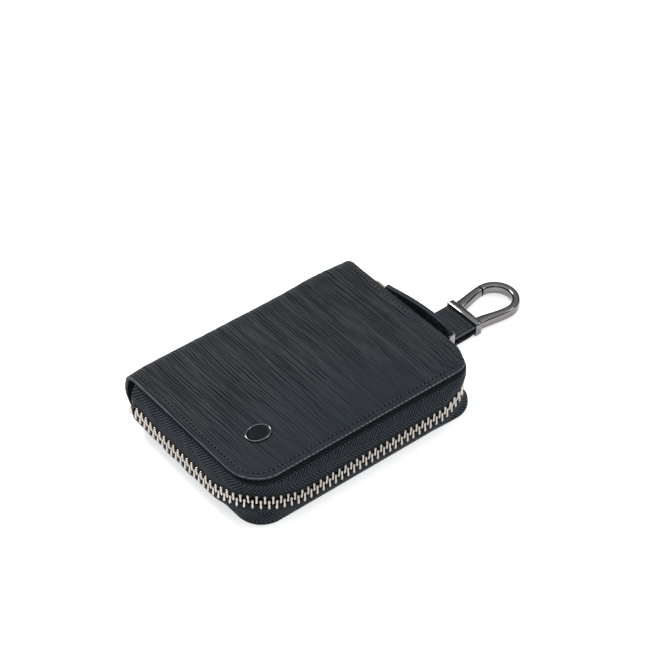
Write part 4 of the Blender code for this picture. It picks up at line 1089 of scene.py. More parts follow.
def slider_bridge():
    """The arch over the slider that the pull hangs in: a superellipse carried along another."""
    base = CHAIN_X + SLIDER_ROOM + SLIDER_PLATE * 0.6
    reach = BRIDGE_TUNNEL + BRIDGE_HALF_THICK + SLIDER_PLATE * 0.4
    half = BRIDGE_LENGTH / 2 - BRIDGE_HALF_THICK
    turn = np.linspace(0, np.pi, 25)
    path_x = base + reach * np.sin(turn) ** 0.5
    path_y = SLIDER_Y - half * np.sign(np.cos(turn)) * np.abs(np.cos(turn)) ** 0.5
    path = at_height(np.column_stack([path_x, path_y]), CHAIN_HEIGHT)
    across = np.cross(unit(np.gradient(path, axis=0)), (0, 0, 1.0))
    thick, wide = superellipse(20, 0.6)
    thick, wide = thick[:, None] * BRIDGE_HALF_THICK, wide[:, None] * BRIDGE_HALF_WIDE
    return sweep(path[:, None] + across[:, None] * thick + np.array((0, 0, 1.0)) * wide)


def make_slider():
    """The slider: two shield-shaped plates, a wedge post and rails between them, and the bridge."""
    y_low, y_high = SLIDER_LOW[1], SLIDER_HIGH[1]
    tail, nose, cut = 0.0046, 0.0051, 0.0014
    side_y = np.array([y_low, y_low + cut, y_high - cut, y_high])
    half = np.array([tail - cut, tail, nose, nose - cut])
    lower = np.column_stack([side_y, CHAIN_HEIGHT - half])
    upper = np.column_stack([side_y, CHAIN_HEIGHT + half])[::-1]
    closed = np.concatenate([lower, upper, lower[:1]])[None]
    shield = cut_corners(cut_corners(closed))[0][:-1]
    shapes = [standing_plate(shield, face, face + SLIDER_PLATE, SLIDER_RIM)
              for face in (CHAIN_X + SLIDER_ROOM, CHAIN_X - SLIDER_ROOM - SLIDER_PLATE)]
    post = rounded_box((y_high - 0.0041, CHAIN_HEIGHT - 0.0011), (y_high - 0.0007, CHAIN_HEIGHT + 0.0011),
                       0.0009, 4)
    room = SLIDER_ROOM + 0.0003
    shapes.append(standing_plate(post, CHAIN_X - room, CHAIN_X + room, 0.0001))
    for middle in (CHAIN_HEIGHT - RAIL_OFFSET, CHAIN_HEIGHT + RAIL_OFFSET):
        rail = rounded_box((y_low + 0.0012, middle - 0.0004), (y_high - 0.0012, middle + 0.0004), 0.0003, 3)
        for low, high in ((-SLIDER_ROOM - 0.0002, -0.0009), (0.0009, SLIDER_ROOM + 0.0002)):
            shapes.append(standing_plate(rail, CHAIN_X + low, CHAIN_X + high, 0.0001))
    shapes.append(slider_bridge())
    return keep_sharp(make_piece("slider_metal", *joined(*shapes), [polished_nickel()]), 50)


def make_link():
    """The pull's wire link, wider at the bridge than at the tab."""
    bars = np.array([(-RING_REACH, -RING_FAR_HALF), (0, -RING_NEAR_HALF), (0, RING_NEAR_HALF),
                     (-RING_REACH, RING_FAR_HALF)])
    ring = at_side(rounded_corners(bars, 0.0012, 5), 0.0)
    points, faces = tube(ring, LINK_RADIUS, 12, capped=False, up=(1, 0, 0))
    return make_piece("pull_link_wire", splayed(points), faces, [polished_nickel()])


def make_tab():
    """The pull's leather tab, a strip that tapers toward its end."""
    outline = rounded_box((-TAB_END, -TAB_HALF_HEIGHT), (-TAB_START, TAB_HALF_HEIGHT),
                          (0.0012, 0.0007, 0.0007, 0.0042), 7)
    outline = refined(outline, 0.0025)
    outline[:, 1] *= 1 + 0.18 * (outline[:, 0] + TAB_END) / (TAB_END - TAB_START)
    points, faces = standing_plate(outline, -TAB_HALF_THICKNESS, TAB_HALF_THICKNESS, 0.0006, steps=5)
    return keep_sharp(make_piece("pull_tab_leather", splayed(points), faces, [smooth_leather()]), 60)


def make_tab_stitching():
    """The seam round the tab's edge, on both of its faces."""
    inset = TAB_SEAM_INSET
    seam = rounded_box((-TAB_END + 0.0052, -TAB_HALF_HEIGHT + inset),
                       (-TAB_START - inset, TAB_HALF_HEIGHT - inset), (0.0004, 0.0006, 0.0006, 0.0026), 4)
    seam = np.concatenate([seam, seam[:1]])
    rows = [stitches(at_side(seam, way * (TAB_HALF_THICKNESS - 0.00005)), (way, 0, 0), 0.0004)
            for way in (-1, 1)]
    points, faces = joined(*rows)
    return make_piece("pull_tab_stitches", splayed(points), faces, [sewing_thread()])


def make_pull_end():
    """The metal clasp that is folded over the tab's end."""
    room = TAB_HALF_THICKNESS + 0.0001
    out = room + CLASP_WALL
    open_y, bottom = -TAB_END + CLASP_LENGTH, -TAB_END - CLEARANCE
    hook = np.array([(room, open_y), (room, bottom), (-room, bottom), (-room, open_y), (-out, open_y),
                     (-out, bottom - CLASP_WALL), (out, bottom - CLASP_WALL), (out, open_y)])
    points, faces = plate(rounded_corners(hook, 0.00025, 3)[::-1], -CLASP_LOW, CLASP_HIGH, 0.0001)
    return keep_sharp(make_piece("pull_end_metal", splayed(points), faces, [polished_gunmetal()]), 60)


class DressSlider(bpy.types.Operator):
    """Makes the zip slider"""
    bl_idname = "key_holder.slider"
    bl_label = "Zip slider"

    def execute(self, context):
        body = make_slider()
        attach(body, "zip_slider")
        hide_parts("slider")
        return {"FINISHED"}


class DressPull(bpy.types.Operator):
    """Makes the zip pull's link, tab and metal end"""
    bl_idname = "key_holder.pull"
    bl_label = "Zip pull"

    def execute(self, context):
        link = make_link()
        tab = make_tab()
        thread = make_tab_stitching()
        end = make_pull_end()
        for piece in (link, tab, thread, end):
            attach(piece, "zip_pull")
        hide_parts("pull_link")
        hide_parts("pull_tab")
        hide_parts("pull_end")
        return {"FINISHED"}


# Strap and clip

def strap_line():
    """The strap's middle line in X and Z with its thickness at each point.

    One leather strip leaves the case's seam, runs out as the lower ply, turns round a half circle
    inside the clip's sleeve and comes back as the upper ply, skived where the plies meet.
    """
    root_x = HALF_WIDTH + 0.0008
    turn_x = SLEEVE_X + 0.0002
    start_low = STRAP_LIFT + STRAP_PLY / 2
    end_low = SLEEVE_WALL + CLEARANCE + STRAP_PLY / 2
    end_high = LOOP_HIGH - STRAP_PLY / 2
    radius = (end_high - end_low) / 2
    lower_x = np.linspace(root_x, turn_x, 60)
    lower_z = start_low + (end_low - start_low) * eased((lower_x - SLEEVE_X + 0.004) / 0.004)
    turn = np.linspace(-np.pi / 2, np.pi / 2, 14)[1:-1]
    bend_x = turn_x + radius * np.cos(turn) * 0.7
    bend_z = (end_low + end_high) / 2 + radius * np.sin(turn)
    upper_x = np.linspace(turn_x, root_x + 0.0007, 60)
    upper_z = np.interp(upper_x, (root_x, STRAP_HINGE_X, turn_x),
                        (STRAP_ROOT_TOP, STRAP_HINGE_Z - STRAP_PLY / 2, end_high))
    tongue_x = (HALF_WIDTH - 0.0001, STRAP_TONGUE_X + 0.002, STRAP_TONGUE_X)
    tongue_z = (0.00225, 0.00215, 0.00215)
    line = np.column_stack([np.concatenate([lower_x, bend_x, upper_x, tongue_x]),
                            np.concatenate([lower_z, bend_z, upper_z, tongue_z])])
    skive = np.clip((line[:, 0] - root_x) / 0.006, 0, 1)
    late = np.arange(len(line)) > len(lower_x) + len(bend_x)
    return line, np.where(late, SKIVED_PLY + (STRAP_PLY - SKIVED_PLY) * skive, STRAP_PLY)


def make_strap():
    """The strap's leather strip: its line carried across the width, with rounded painted edges."""
    line, thick = strap_line()
    normal = line_normals(line)
    across = np.linspace(-1, 1, 25) * (STRAP_WIDTH / 2 - STRAP_EDGE_INSET)
    u, v = np.meshgrid(travelled(line), across, indexing="ij")
    ridge = ridge_field(u, v)
    dip = STRAP_EDGE_DIP * np.exp(-(STRAP_WIDTH / 2 - np.abs(v)) / 0.0016)
    cut = sizes().ridge_depth * 0.8 * (1 - ridge) + dip
    grids = []
    for offset in (thick[:, None] / 2 - cut, -thick[:, None] / 2 + np.zeros_like(cut)):
        x, z = (line[:, [axis]] + normal[:, [axis]] * offset for axis in (0, 1))
        grids.append(np.stack([x, STRAP_Y + v, z], axis=-1))
    outward = border_outward(grids[0])
    outward[1:-1, 0] = (0, -1, 0)
    outward[1:-1, -1] = (0, 1, 0)
    rim = np.minimum(STRAP_EDGE_INSET, thick[:, None] * 0.4)
    points, faces, owner, depth = skin(*grids, rim, outward)
    # On the strap the ridges start at 0.35, so its painted light on the ridges is brighter than on the
    # covers.
    ridges = np.where(depth > INNER_FACE, 0.6, 0.35 + 0.65 * ridge.reshape(-1)[owner])
    run = np.stack([u, v, np.full(u.shape, 0.95)], axis=-1).reshape(-1, 3)[owner]
    return make_piece("strap_leather", points, faces, [navy_ridged_leather()],
                      attributes={"ridge": ridges, "edge_paint_and_highlight": painted_edge(depth, 0.8), "run": run})


def make_strap_stitching():
    """The strap's seams, a row along each edge above and below."""
    start, end = HALF_WIDTH + 0.0035, SLEEVE_X - 0.0006
    upper_ply = strap_line()[0][131:74:-1]
    x = np.linspace(start, end, 30)
    z = np.interp(x, *upper_ply.T) + STRAP_PLY / 2 - 0.00014
    low = STRAP_LIFT + 0.0001
    rows = []
    reach = STRAP_WIDTH / 2 - STRAP_SEAM_INSET
    for y in (STRAP_Y - reach, STRAP_Y + reach):
        rows.append(stitches(np.column_stack([x, np.full(30, y), z]), (0, 0, 1)))
        rows.append(stitches(np.array([(start, y, low), (end - 0.004, y, low)]), (0, 0, -1)))
    return make_piece("strap_stitches", *joined(*rows), [sewing_thread()])


def loop_sections(x_from, x_to, side):
    """The outer and the inner line of a length of one of the loop's legs.

    The half widths ease from the neck to the round end. side is -1 for the front leg and 1 for
    the back one.
    """
    x = np.linspace(x_from, x_to, LOOP_STATIONS)
    share = eased((x - LOOP_ROOT_X) / (LOOP_X - LOOP_ROOT_X))
    outer = LOOP_NECK_OUTER + (LOOP_OUTER - LOOP_NECK_OUTER) * share
    inner = LOOP_NECK_INNER + (LOOP_INNER - LOOP_NECK_INNER) * share
    return [np.column_stack([x, STRAP_Y + side * half]) for half in (outer, inner)]


def loop_bar(outer, inner):
    """Superellipse sections between an outer and an inner line, as high as the solid."""
    wide, high = superellipse(32, 0.56)
    middle = (outer + inner) / 2
    half = (outer - inner) / 2
    z = (LOOP_LOW + LOOP_HIGH) / 2 + high * (LOOP_HIGH - LOOP_LOW) / 2
    flat = middle[:, None] + half[:, None] * wide[:, None]
    return sweep(np.concatenate([flat, np.broadcast_to(z[:, None], flat.shape[:2] + (1,))], axis=-1))


def sleeve_shape():
    """The sleeve: rounded rectangles of changing inset, from the hollow's floor out over the lip."""
    back = SLEEVE_X + SLEEVE_LENGTH
    profile = [(back - SLEEVE_BACK, SLEEVE_WALL), (SLEEVE_X + 0.0002, SLEEVE_WALL),
               (SLEEVE_X, SLEEVE_WALL - 0.0002), (SLEEVE_X, 0.0002), (SLEEVE_X + 0.0002, 0.0),
               (back - 0.0005, 0.0), (back - 0.00015, 0.00015), (back, 0.0005), (back, 0.0012)]
    rings = []
    for x, inset in profile:
        outline = rounded_box((STRAP_Y - SLEEVE_HALF_WIDTH + inset, inset),
                              (STRAP_Y + SLEEVE_HALF_WIDTH - inset, SLEEVE_HEIGHT - inset),
                              max(0.0011 - inset * 0.6, 0.0003), 5)
        rings.append(at_side(outline, x))
    return sweep(np.array(rings))


def make_clip():
    """The clip: a loop swept from the front leg round to the fork, a short back root and the sleeve."""
    front_outer, front_inner = loop_sections(LOOP_ROOT_X, LOOP_X, -1)
    turn_outer, turn_inner = (arc_points((LOOP_X, STRAP_Y), radius, -90, 90, 48)
                              for radius in (LOOP_OUTER, LOOP_INNER))
    back_outer, back_inner = loop_sections(LOOP_X, GATE_END_X + CLEARANCE, 1)
    back_inner[:, 0] += np.linspace(0, FORK_SLANT, LOOP_STATIONS)
    outer = np.concatenate([front_outer[:-1], turn_outer, back_outer[1:]])
    inner = np.concatenate([front_inner[:-1], turn_inner, back_inner[1:]])
    root = loop_sections(LOOP_ROOT_X, GATE_START_X - CLEARANCE, 1)
    web_x = np.linspace(LOOP_ROOT_X, SLEEVE_X + SLEEVE_LENGTH + LOOP_WEB, 4)
    web = [np.column_stack([web_x, np.full(4, STRAP_Y + half)]) for half in (WEB_HALF_WIDTH, -WEB_HALF_WIDTH)]
    shapes = [loop_bar(outer, inner), loop_bar(*root), loop_bar(*web), sleeve_shape()]
    return keep_sharp(make_piece("clip_metal", *joined(*shapes), [polished_gunmetal()]), 50)


def make_gate():
    """The gate, the length of the back leg that swings inward."""
    bar = loop_bar(*loop_sections(GATE_START_X, GATE_END_X, 1))
    return keep_sharp(make_piece("clip_gate_metal", *bar, [polished_gunmetal()]), 50)


class DressStrap(bpy.types.Operator):
    """Makes the folded leather strap"""
    bl_idname = "key_holder.strap"
    bl_label = "Strap"

    def execute(self, context):
        strap = make_strap()
        seam = make_strap_stitching()
        for piece in (strap, seam):
            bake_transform(piece)
        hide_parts("strap_base", "strap_end")
        return {"FINISHED"}


class DressClip(bpy.types.Operator):
    """Makes the clip's loop, gate and sleeve"""
    bl_idname = "key_holder.clip"
    bl_label = "Clip"

    def execute(self, context):
        loop = make_clip()
        gate = make_gate()
        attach(loop, "strap")
        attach(gate, "gate")
        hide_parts("clip_frame")
        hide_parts("clip_gate")
        finish_nodes(polished_gunmetal(), "gate_pin")
        return {"FINISHED"}


# Badge and fittings

def make_badge():
    """A plain oval badge: a rounded rim ring round a slightly domed field."""
    low, high = (np.array(corner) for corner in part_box("badge"))
    middle = (low + high) / 2
    half = (high - low) / 2
    sides = 72
    turn = np.linspace(0, 2 * np.pi, sides, endpoint=False)
    circle = np.column_stack([np.cos(turn), np.sin(turn)])
    top = high[2]
    wall = 0.0008
    profile = [(0.0, low[2]), (0.0, top - 0.00025), (0.00008, top - 0.00008), (0.00025, top),
               (wall - 0.00025, top), (wall - 0.00008, top - 0.00008), (wall, top - 0.00032),
               (wall + 0.0002, top - 0.00040), (wall + 0.0010, top - 0.00036), (0.0030, top - 0.00032)]
    rings = [at_height(middle[:2] + circle * (half[:2] - inset), z) for inset, z in profile]
    points, faces = sweep(np.array(rings))
    dark = [number // sides >= 5 for number, *_ in faces[:-2]] + [False, True]
    badge = make_piece("badge_metal", points, faces, [polished_gunmetal(), blackened_metal()], dark)
    return keep_sharp(badge, 60)


def finish_nodes(finish, *names):
    """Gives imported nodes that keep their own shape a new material."""
    for name in names:
        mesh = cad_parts[name].data
        mesh.materials.clear()
        mesh.materials.append(finish)


class DressBadge(bpy.types.Operator):
    """Makes the plain oval badge"""
    bl_idname = "key_holder.badge"
    bl_label = "Badge"

    def execute(self, context):
        badge = make_badge()
        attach(badge, "front_cover")
        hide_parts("badge")
        return {"FINISHED"}


class DressFittings(bpy.types.Operator):
    """Gives the key plate, the hooks, the stop and the boards their finish"""
    bl_idname = "key_holder.fittings"
    bl_label = "Key fittings"

    def execute(self, context):
        finish_nodes(polished_nickel(), "key_plate", "key_rod", "plate_rivet_left", "plate_rivet_right",
                     "bottom_stop", "key_hook_1", "key_hook_2", "key_hook_3", "key_hook_4")
        finish_nodes(fibre_board(), "back_board", "front_board", "spine_board")
        return {"FINISHED"}


# Materials

def feed(tree, node, values):
    """Sets a node's inputs to values, or links other nodes' outputs to them."""
    for key, value in values.items():
        if isinstance(value, bpy.types.NodeSocket):
            tree.links.new(value, node.inputs[key])
        else:
            node.inputs[key].default_value = value


def add(tree, kind, inputs=None, **settings):
    """Adds a node; its inputs take a value or another node's output."""
    node = tree.nodes.new(kind)
    for key, value in settings.items():
        setattr(node, key, value)
    feed(tree, node, inputs or {})
    return node


def calculate(tree, operation, *values):
    """A Math node's result."""
    return add(tree, "ShaderNodeMath", dict(enumerate(values)), operation=operation).outputs[0]


def blend_colours(tree, share, first, second):
    """A colour mix; each colour is a value or another node's output."""
    first, second = (colour if isinstance(colour, bpy.types.NodeSocket) else (*colour, 1.0)
                     for colour in (first, second))
    return add(tree, "ShaderNodeMix", {0: share, 6: first, 7: second}, data_type="RGBA").outputs[2]


def tinted(tree, colour, factor):
    """A colour times a factor or another colour."""
    return add(tree, "ShaderNodeVectorMath", {0: colour, 1: factor}, operation="MULTIPLY").outputs[0]


def scaled(tone, factor):
    """A colour value made lighter or darker."""
    return [min(value * factor, 1) for value in tone]


def object_place(tree):
    """The place of a point on the object."""
    return add(tree, "ShaderNodeTexCoord").outputs["Object"]


def split(tree, vector):
    """The three parts of a place."""
    return add(tree, "ShaderNodeSeparateXYZ", {"Vector": vector}).outputs


def attribute(tree, name, output="Fac"):
    """One of the piece's own attributes."""
    return add(tree, "ShaderNodeAttribute", attribute_name=name).outputs[output]


def noise(tree, place, scale, detail=2.0, **settings):
    """A noise texture's value."""
    inputs = {"Vector": place, "Scale": scale, "Detail": detail}
    return add(tree, "ShaderNodeTexNoise", inputs, **settings).outputs["Fac"]


def stretched(tree, place, scale, turn=(0.0, 0.0, 0.0)):
    """A place turned and then scaled along each axis."""
    return add(tree, "ShaderNodeMapping", {"Vector": place, "Scale": scale, "Rotation": turn}).outputs[0]


def ranged(tree, value, low, high, to_low=0.0, to_high=1.0, **settings):
    """A value carried from one range to another and kept inside it."""
    inputs = {"Value": value, "From Min": low, "From Max": high, "To Min": to_low, "To Max": to_high}
    return add(tree, "ShaderNodeMapRange", inputs, **settings).outputs[0]


def made_once(collection):
    """Lets a function make its material or group once; later it is looked up by the function's name."""
    def keep(make):
        def found_or_made():
            return getattr(bpy.data, collection).get(make.__name__) or make()
        return found_or_made
    return keep


def new_group(name, inputs, outputs):
    """An empty shader group with named sockets; an input without a value is a place."""
    tree = bpy.data.node_groups.new(name, "ShaderNodeTree")
    for socket, value in inputs.items():
        kind = "NodeSocketVector" if value is None else "NodeSocketFloat"
        made = tree.interface.new_socket(name=socket, in_out="INPUT", socket_type=kind)
        if value is not None:
            made.default_value = value
    for socket in outputs:
        tree.interface.new_socket(name=socket, in_out="OUTPUT", socket_type="NodeSocketFloat")
    return tree, tree.nodes.new("NodeGroupInput").outputs, tree.nodes.new("NodeGroupOutput")


@made_once("node_groups")
def leather_grain():
    """Group: long fine ridges side by side. Gives a height, the ridges' mask and a slow mottle.

    The grooves are the low parts of a sine over the first axis of the given place. A noise drawn
    out along the second axis bends them together, and another makes each deeper or fainter.
    """
    tree, given, out = new_group("leather_grain", {"Place": None}, ("Height", "Streak", "Mottle"))
    place = given["Place"]
    plane = {"noise_dimensions": "2D"}
    drawn = stretched(tree, place, (1.0, 0.16, 0.0))
    long_way = stretched(tree, place, (1.0, 0.06, 0.0))
    bend = noise(tree, drawn, 130.0, 1.0, **plane)
    across = split(tree, place)[0]
    phase = calculate(tree, "MULTIPLY_ADD", bend, 2.2, calculate(tree, "DIVIDE", across, 0.00128))
    wave = calculate(tree, "SINE", calculate(tree, "MULTIPLY", phase, 2 * math.pi))
    groove = ranged(tree, wave, 0.1, -0.9, interpolation_type="SMOOTHSTEP")
    deep = ranged(tree, noise(tree, long_way, 900.0, 0.0, **plane), 0.35, 0.62, 0.35)
    crown = calculate(tree, "MULTIPLY_ADD", noise(tree, long_way, 4200.0, 1.0, **plane), 0.9, 0.35)
    flat = calculate(tree, "MULTIPLY_ADD", groove, calculate(tree, "MULTIPLY", deep, -1.0), 1.0)
    streak = calculate(tree, "MULTIPLY", crown, flat)
    pores = add(tree, "ShaderNodeTexVoronoi", {"Vector": place, "Scale": 2600.0}, voronoi_dimensions="2D")
    height = calculate(tree, "MULTIPLY_ADD", pores.outputs["Distance"], 0.2, streak)
    feed(tree, out, {"Height": height, "Streak": streak, "Mottle": noise(tree, place, 85.0, **plane)})
    return tree


@made_once("node_groups")
def herringbone():
    """Group: twill columns that turn back and forth. Gives a height and a thread mask.

    The stripe's phase is the distance along plus the folded distance across, over the pitch.
    """
    inputs = {"Along": 0.0, "Across": 0.0, "Column": 0.003, "Pitch": 0.00075}
    tree, given, out = new_group("herringbone", inputs, ("Height", "Thread"))
    folded = calculate(tree, "PINGPONG", given["Across"], given["Column"])
    phase = calculate(tree, "DIVIDE", calculate(tree, "ADD", given["Along"], folded), given["Pitch"])
    wave = calculate(tree, "SINE", calculate(tree, "MULTIPLY", phase, 2 * math.pi))
    yarn = calculate(tree, "SINE", calculate(tree, "DIVIDE", given["Across"], 0.00006))
    height = calculate(tree, "MULTIPLY_ADD", yarn, 0.22, wave)
    feed(tree, out, {"Height": calculate(tree, "MULTIPLY_ADD", height, 0.4, 0.5),
                     "Thread": calculate(tree, "MULTIPLY_ADD", wave, 0.5, 0.5)})
    return tree


@made_once("node_groups")
def metal_wear():
    """Group: smudges and hairline scratches. Gives a roughness factor and a height."""
    tree, given, out = new_group("metal_wear", {"Base": 0.2, "Spread": 0.1}, ("Roughness", "Height"))
    spot = object_place(tree)
    smudges = {"Vector": spot, "Scale": 420.0, "Detail": 4.0, "Roughness": 0.6}
    smudge = add(tree, "ShaderNodeTexNoise", smudges).outputs["Fac"]
    hairline = noise(tree, stretched(tree, spot, (9.0, 1.0, 4.0), (0.3, 0.5, 0.7)), 1500.0)
    centred = calculate(tree, "SUBTRACT", smudge, 0.5)
    rough = calculate(tree, "MULTIPLY_ADD", centred, given["Spread"], given["Base"])
    feed(tree, out, {"Roughness": rough, "Height": hairline})
    return tree


def new_material(name, constants):
    """A material with one Principled shader and constant values set on its sockets."""
    made = bpy.data.materials.new(name)
    made.use_nodes = True
    shader = made.node_tree.nodes["Principled BSDF"]
    feed(made.node_tree, shader, constants)
    return made, made.node_tree, shader


def bump(tree, shader, height, strength, distance):
    """Links a height to the shader's normal."""
    node = add(tree, "ShaderNodeBump", {"Height": height, "Strength": strength, "Distance": distance})
    feed(tree, shader, {"Normal": node.outputs["Normal"]})


@made_once("materials")
def navy_ridged_leather():
    """Navy leather: painted shade in its dark grooves, painted light on its lighter brownish ridges and
    streaks, and painted edges with a painted highlight.
    """
    made, tree, shader = new_material("navy_ridged_leather", {"Specular IOR Level": 0.13})
    tone = colours()
    ridge = attribute(tree, "ridge")
    edge = attribute(tree, "edge_paint_and_highlight")
    run = attribute(tree, "run", "Vector")
    grain = add(tree, "ShaderNodeGroup", {"Place": run}, node_tree=leather_grain()).outputs
    # Painted light and shade: lit ridge tops and streaks take the ridge colour, the grooves the dark groove
    # colour.
    lit = calculate(tree, "POWER", ridge, 1.3)
    relief = split(tree, run)[2]
    streak = calculate(tree, "SUBTRACT", grain["Streak"], 0.60)
    streak = calculate(tree, "MULTIPLY_ADD", streak, calculate(tree, "MULTIPLY", relief, 1.35), 0.60)
    share = calculate(tree, "MULTIPLY", lit, streak)
    base = blend_colours(tree, share, tone.leather_groove, tone.leather_top)
    warm = ranged(tree, grain["Mottle"], 0.35, 0.65, to_high=0.4)
    base = blend_colours(tree, calculate(tree, "MULTIPLY", warm, share), base, (0.046, 0.041, 0.040))
    # Partly painted shade, partly the leather's own navy: where the relief is low, toward the front, the
    # colour is darker and bluer; near the spine it stays lighter and greyer, as the light from behind falls
    # there.
    base = tinted(tree, base, blend_colours(tree, relief, (0.30, 0.50, 0.70), (1.0, 1.0, 1.0)))
    rough = calculate(tree, "MULTIPLY_ADD", share, -0.10, 0.60)
    rough = calculate(tree, "MULTIPLY_ADD", grain["Mottle"], 0.12, rough)
    # The edge's paint with its painted highlight is mixed in here, with a smoother finish.
    feed(tree, shader, {"Base Color": blend_colours(tree, edge, base, tone.edge_paint_and_highlight),
                        "Roughness": calculate(tree, "MULTIPLY_ADD", edge, -0.20, rough)})
    bump(tree, shader, grain["Height"], relief, 0.00020)
    return made


@made_once("materials")
def smooth_leather():
    """Smooth dark leather with a fine grain, for the pull and bindings."""
    made, tree, shader = new_material("smooth_leather", {"Specular IOR Level": 0.3})
    spot = object_place(tree)
    pores = add(tree, "ShaderNodeTexVoronoi", {"Vector": spot, "Scale": 1700.0}).outputs["Distance"]
    mottle = noise(tree, spot, 140.0, 3.0)
    base = blend_colours(tree, mottle, (0.008, 0.013, 0.019), (0.018, 0.023, 0.030))
    feed(tree, shader, {"Base Color": base, "Roughness": calculate(tree, "MULTIPLY_ADD", mottle, 0.15, 0.42)})
    bump(tree, shader, pores, 0.25, 0.00005)
    return made


@made_once("materials")
def sewing_thread():
    """Waxed thread: a twisted ply drawn as fine slanted stripes."""
    made, tree, shader = new_material("sewing_thread", {"Roughness": 0.55})
    stripes = {"Vector": object_place(tree), "Scale": 900.0, "Distortion": 1.5}
    ply = add(tree, "ShaderNodeTexWave", stripes, bands_direction="DIAGONAL").outputs["Fac"]
    tone = colours().thread
    feed(tree, shader, {"Base Color": blend_colours(tree, ply, tone, scaled(tone, 2.4))})
    bump(tree, shader, ply, 0.4, 0.00004)
    return made


@made_once("materials")
def needle_hole_shade():
    """Painted shade of a needle hole: a near-black patch where the hole's shade falls."""
    made, tree, shader = new_material("needle_hole_shade", {"Roughness": 1.0, "Specular IOR Level": 0.0})
    grit = noise(tree, object_place(tree), 3000.0)
    base = blend_colours(tree, grit, (0.001, 0.001, 0.002), (0.006, 0.007, 0.009))
    feed(tree, shader, {"Base Color": base})
    return made


@made_once("materials")
def herringbone_tape():
    """Herringbone tape, near black, with a faint sheen on the thread's floats.

    It has painted shade in the crease beside the cover and on the strip beside the cord, and a painted
    highlight where it is cut.
    """
    made, tree, shader = new_material("herringbone_tape", {"Specular IOR Level": 0.15, "Sheen Weight": 0.04,
                                                           "Sheen Roughness": 0.5})
    parts = split(tree, attribute(tree, "weave", "Vector"))
    weave = {"Along": parts[0], "Across": parts[1], "Column": sizes().twill_column,
             "Pitch": sizes().twill_pitch}
    twill = add(tree, "ShaderNodeGroup", weave, node_tree=herringbone()).outputs
    fuzz = noise(tree, object_place(tree), 2200.0)
    tone = colours().tape
    base = blend_colours(tree, twill["Thread"], scaled(tone, 0.03), scaled(tone, 2.2))
    base = tinted(tree, base, calculate(tree, "MULTIPLY_ADD", fuzz, 3.0, -0.5))
    # Painted shade in the crease under the cover's edge.
    base = tinted(tree, base, ranged(tree, parts[1], FLANGE_REACH + 0.0004, FLANGE_REACH + 0.0011, 0.35))
    # Painted shade on the strip beside the cord.
    base = blend_colours(tree, attribute(tree, "shade"), base, (0.0015, 0.0022, 0.0030))
    # The pale cut end is a painted highlight.
    feed(tree, shader, {"Base Color": blend_colours(tree, parts[2], base, (0.30, 0.30, 0.31)),
                        "Roughness": calculate(tree, "MULTIPLY_ADD", twill["Thread"], -0.15, 0.8)})
    bump(tree, shader, twill["Height"], 0.8, 0.00022)
    return made


@made_once("materials")
def lining_cloth():
    """Plain woven lining: two sets of fine threads crossing."""
    made, tree, shader = new_material("lining_cloth", {"Specular IOR Level": 0.3, "Sheen Weight": 0.2,
                                                       "Sheen Roughness": 0.4})
    spot = object_place(tree)
    parts = split(tree, spot)
    warp, weft = (calculate(tree, "SINE", calculate(tree, "MULTIPLY", way, 2 * math.pi / 0.00055))
                  for way in (parts[0], calculate(tree, "ADD", parts[1], parts[2])))
    check = calculate(tree, "MULTIPLY", warp, weft)
    fuzz = noise(tree, spot, 160.0, 4.0)
    tone = colours().lining
    share = calculate(tree, "MULTIPLY_ADD", check, 0.35, fuzz)
    feed(tree, shader, {"Base Color": blend_colours(tree, share, scaled(tone, 0.6), scaled(tone, 1.5)),
                        "Roughness": calculate(tree, "MULTIPLY_ADD", fuzz, 0.2, 0.65)})
    bump(tree, shader, check, 0.35, 0.00008)
    return made


@made_once("materials")
def fibre_board():
    """Stiffening board inside the covers, dark grey and fibrous."""
    made, tree, shader = new_material("fibre_board", {"Roughness": 0.9})
    fibre = noise(tree, object_place(tree), 700.0, 4.0)
    base = blend_colours(tree, fibre, (0.018, 0.018, 0.020), (0.050, 0.049, 0.050))
    feed(tree, shader, {"Base Color": base})
    bump(tree, shader, fibre, 0.3, 0.00008)
    return made


def metal(name, tone, rough, spread):
    """A polished metal with smudges, hairlines and a slight change of tone."""
    made, tree, shader = new_material(name, {"Metallic": 1.0})
    wear = add(tree, "ShaderNodeGroup", {"Base": rough, "Spread": spread}, node_tree=metal_wear()).outputs
    tarnish = noise(tree, object_place(tree), 180.0, 3.0)
    feed(tree, shader, {"Base Color": blend_colours(tree, tarnish, scaled(tone, 0.86), scaled(tone, 1.1)),
                        "Roughness": wear["Roughness"]})
    bump(tree, shader, wear["Height"], 0.05, 0.00002)
    return made


@made_once("materials")
def polished_nickel():
    return metal("polished_nickel", colours().nickel, 0.22, 0.16)


@made_once("materials")
def polished_gunmetal():
    return metal("polished_gunmetal", colours().gunmetal, 0.10, 0.10)


@made_once("materials")
def blackened_metal():
    return metal("blackened_metal", (0.016, 0.018, 0.022), 0.38, 0.14)


# Stage

LAMPS = (("key_lamp", (-0.04, 1.1, 1.2), 0.5, 17.0),
         ("fill_lamp", (-0.75, -0.95, 0.8), 0.3, 0.7),
         ("side_lamp", (0.9, -0.7, 0.9), 0.4, 2.8))
FLOOR_HALF = 3.0
FLOOR_GLOW = 0.62
CAMERA_AZIMUTH = -38.422
CAMERA_ELEVATION = 44.541
CAMERA_DISTANCE = 0.804664
FOCAL_PIXELS = 2000.0
PICTURE = 650.0
ORIGIN_PIXEL = (302.875, 410.651)


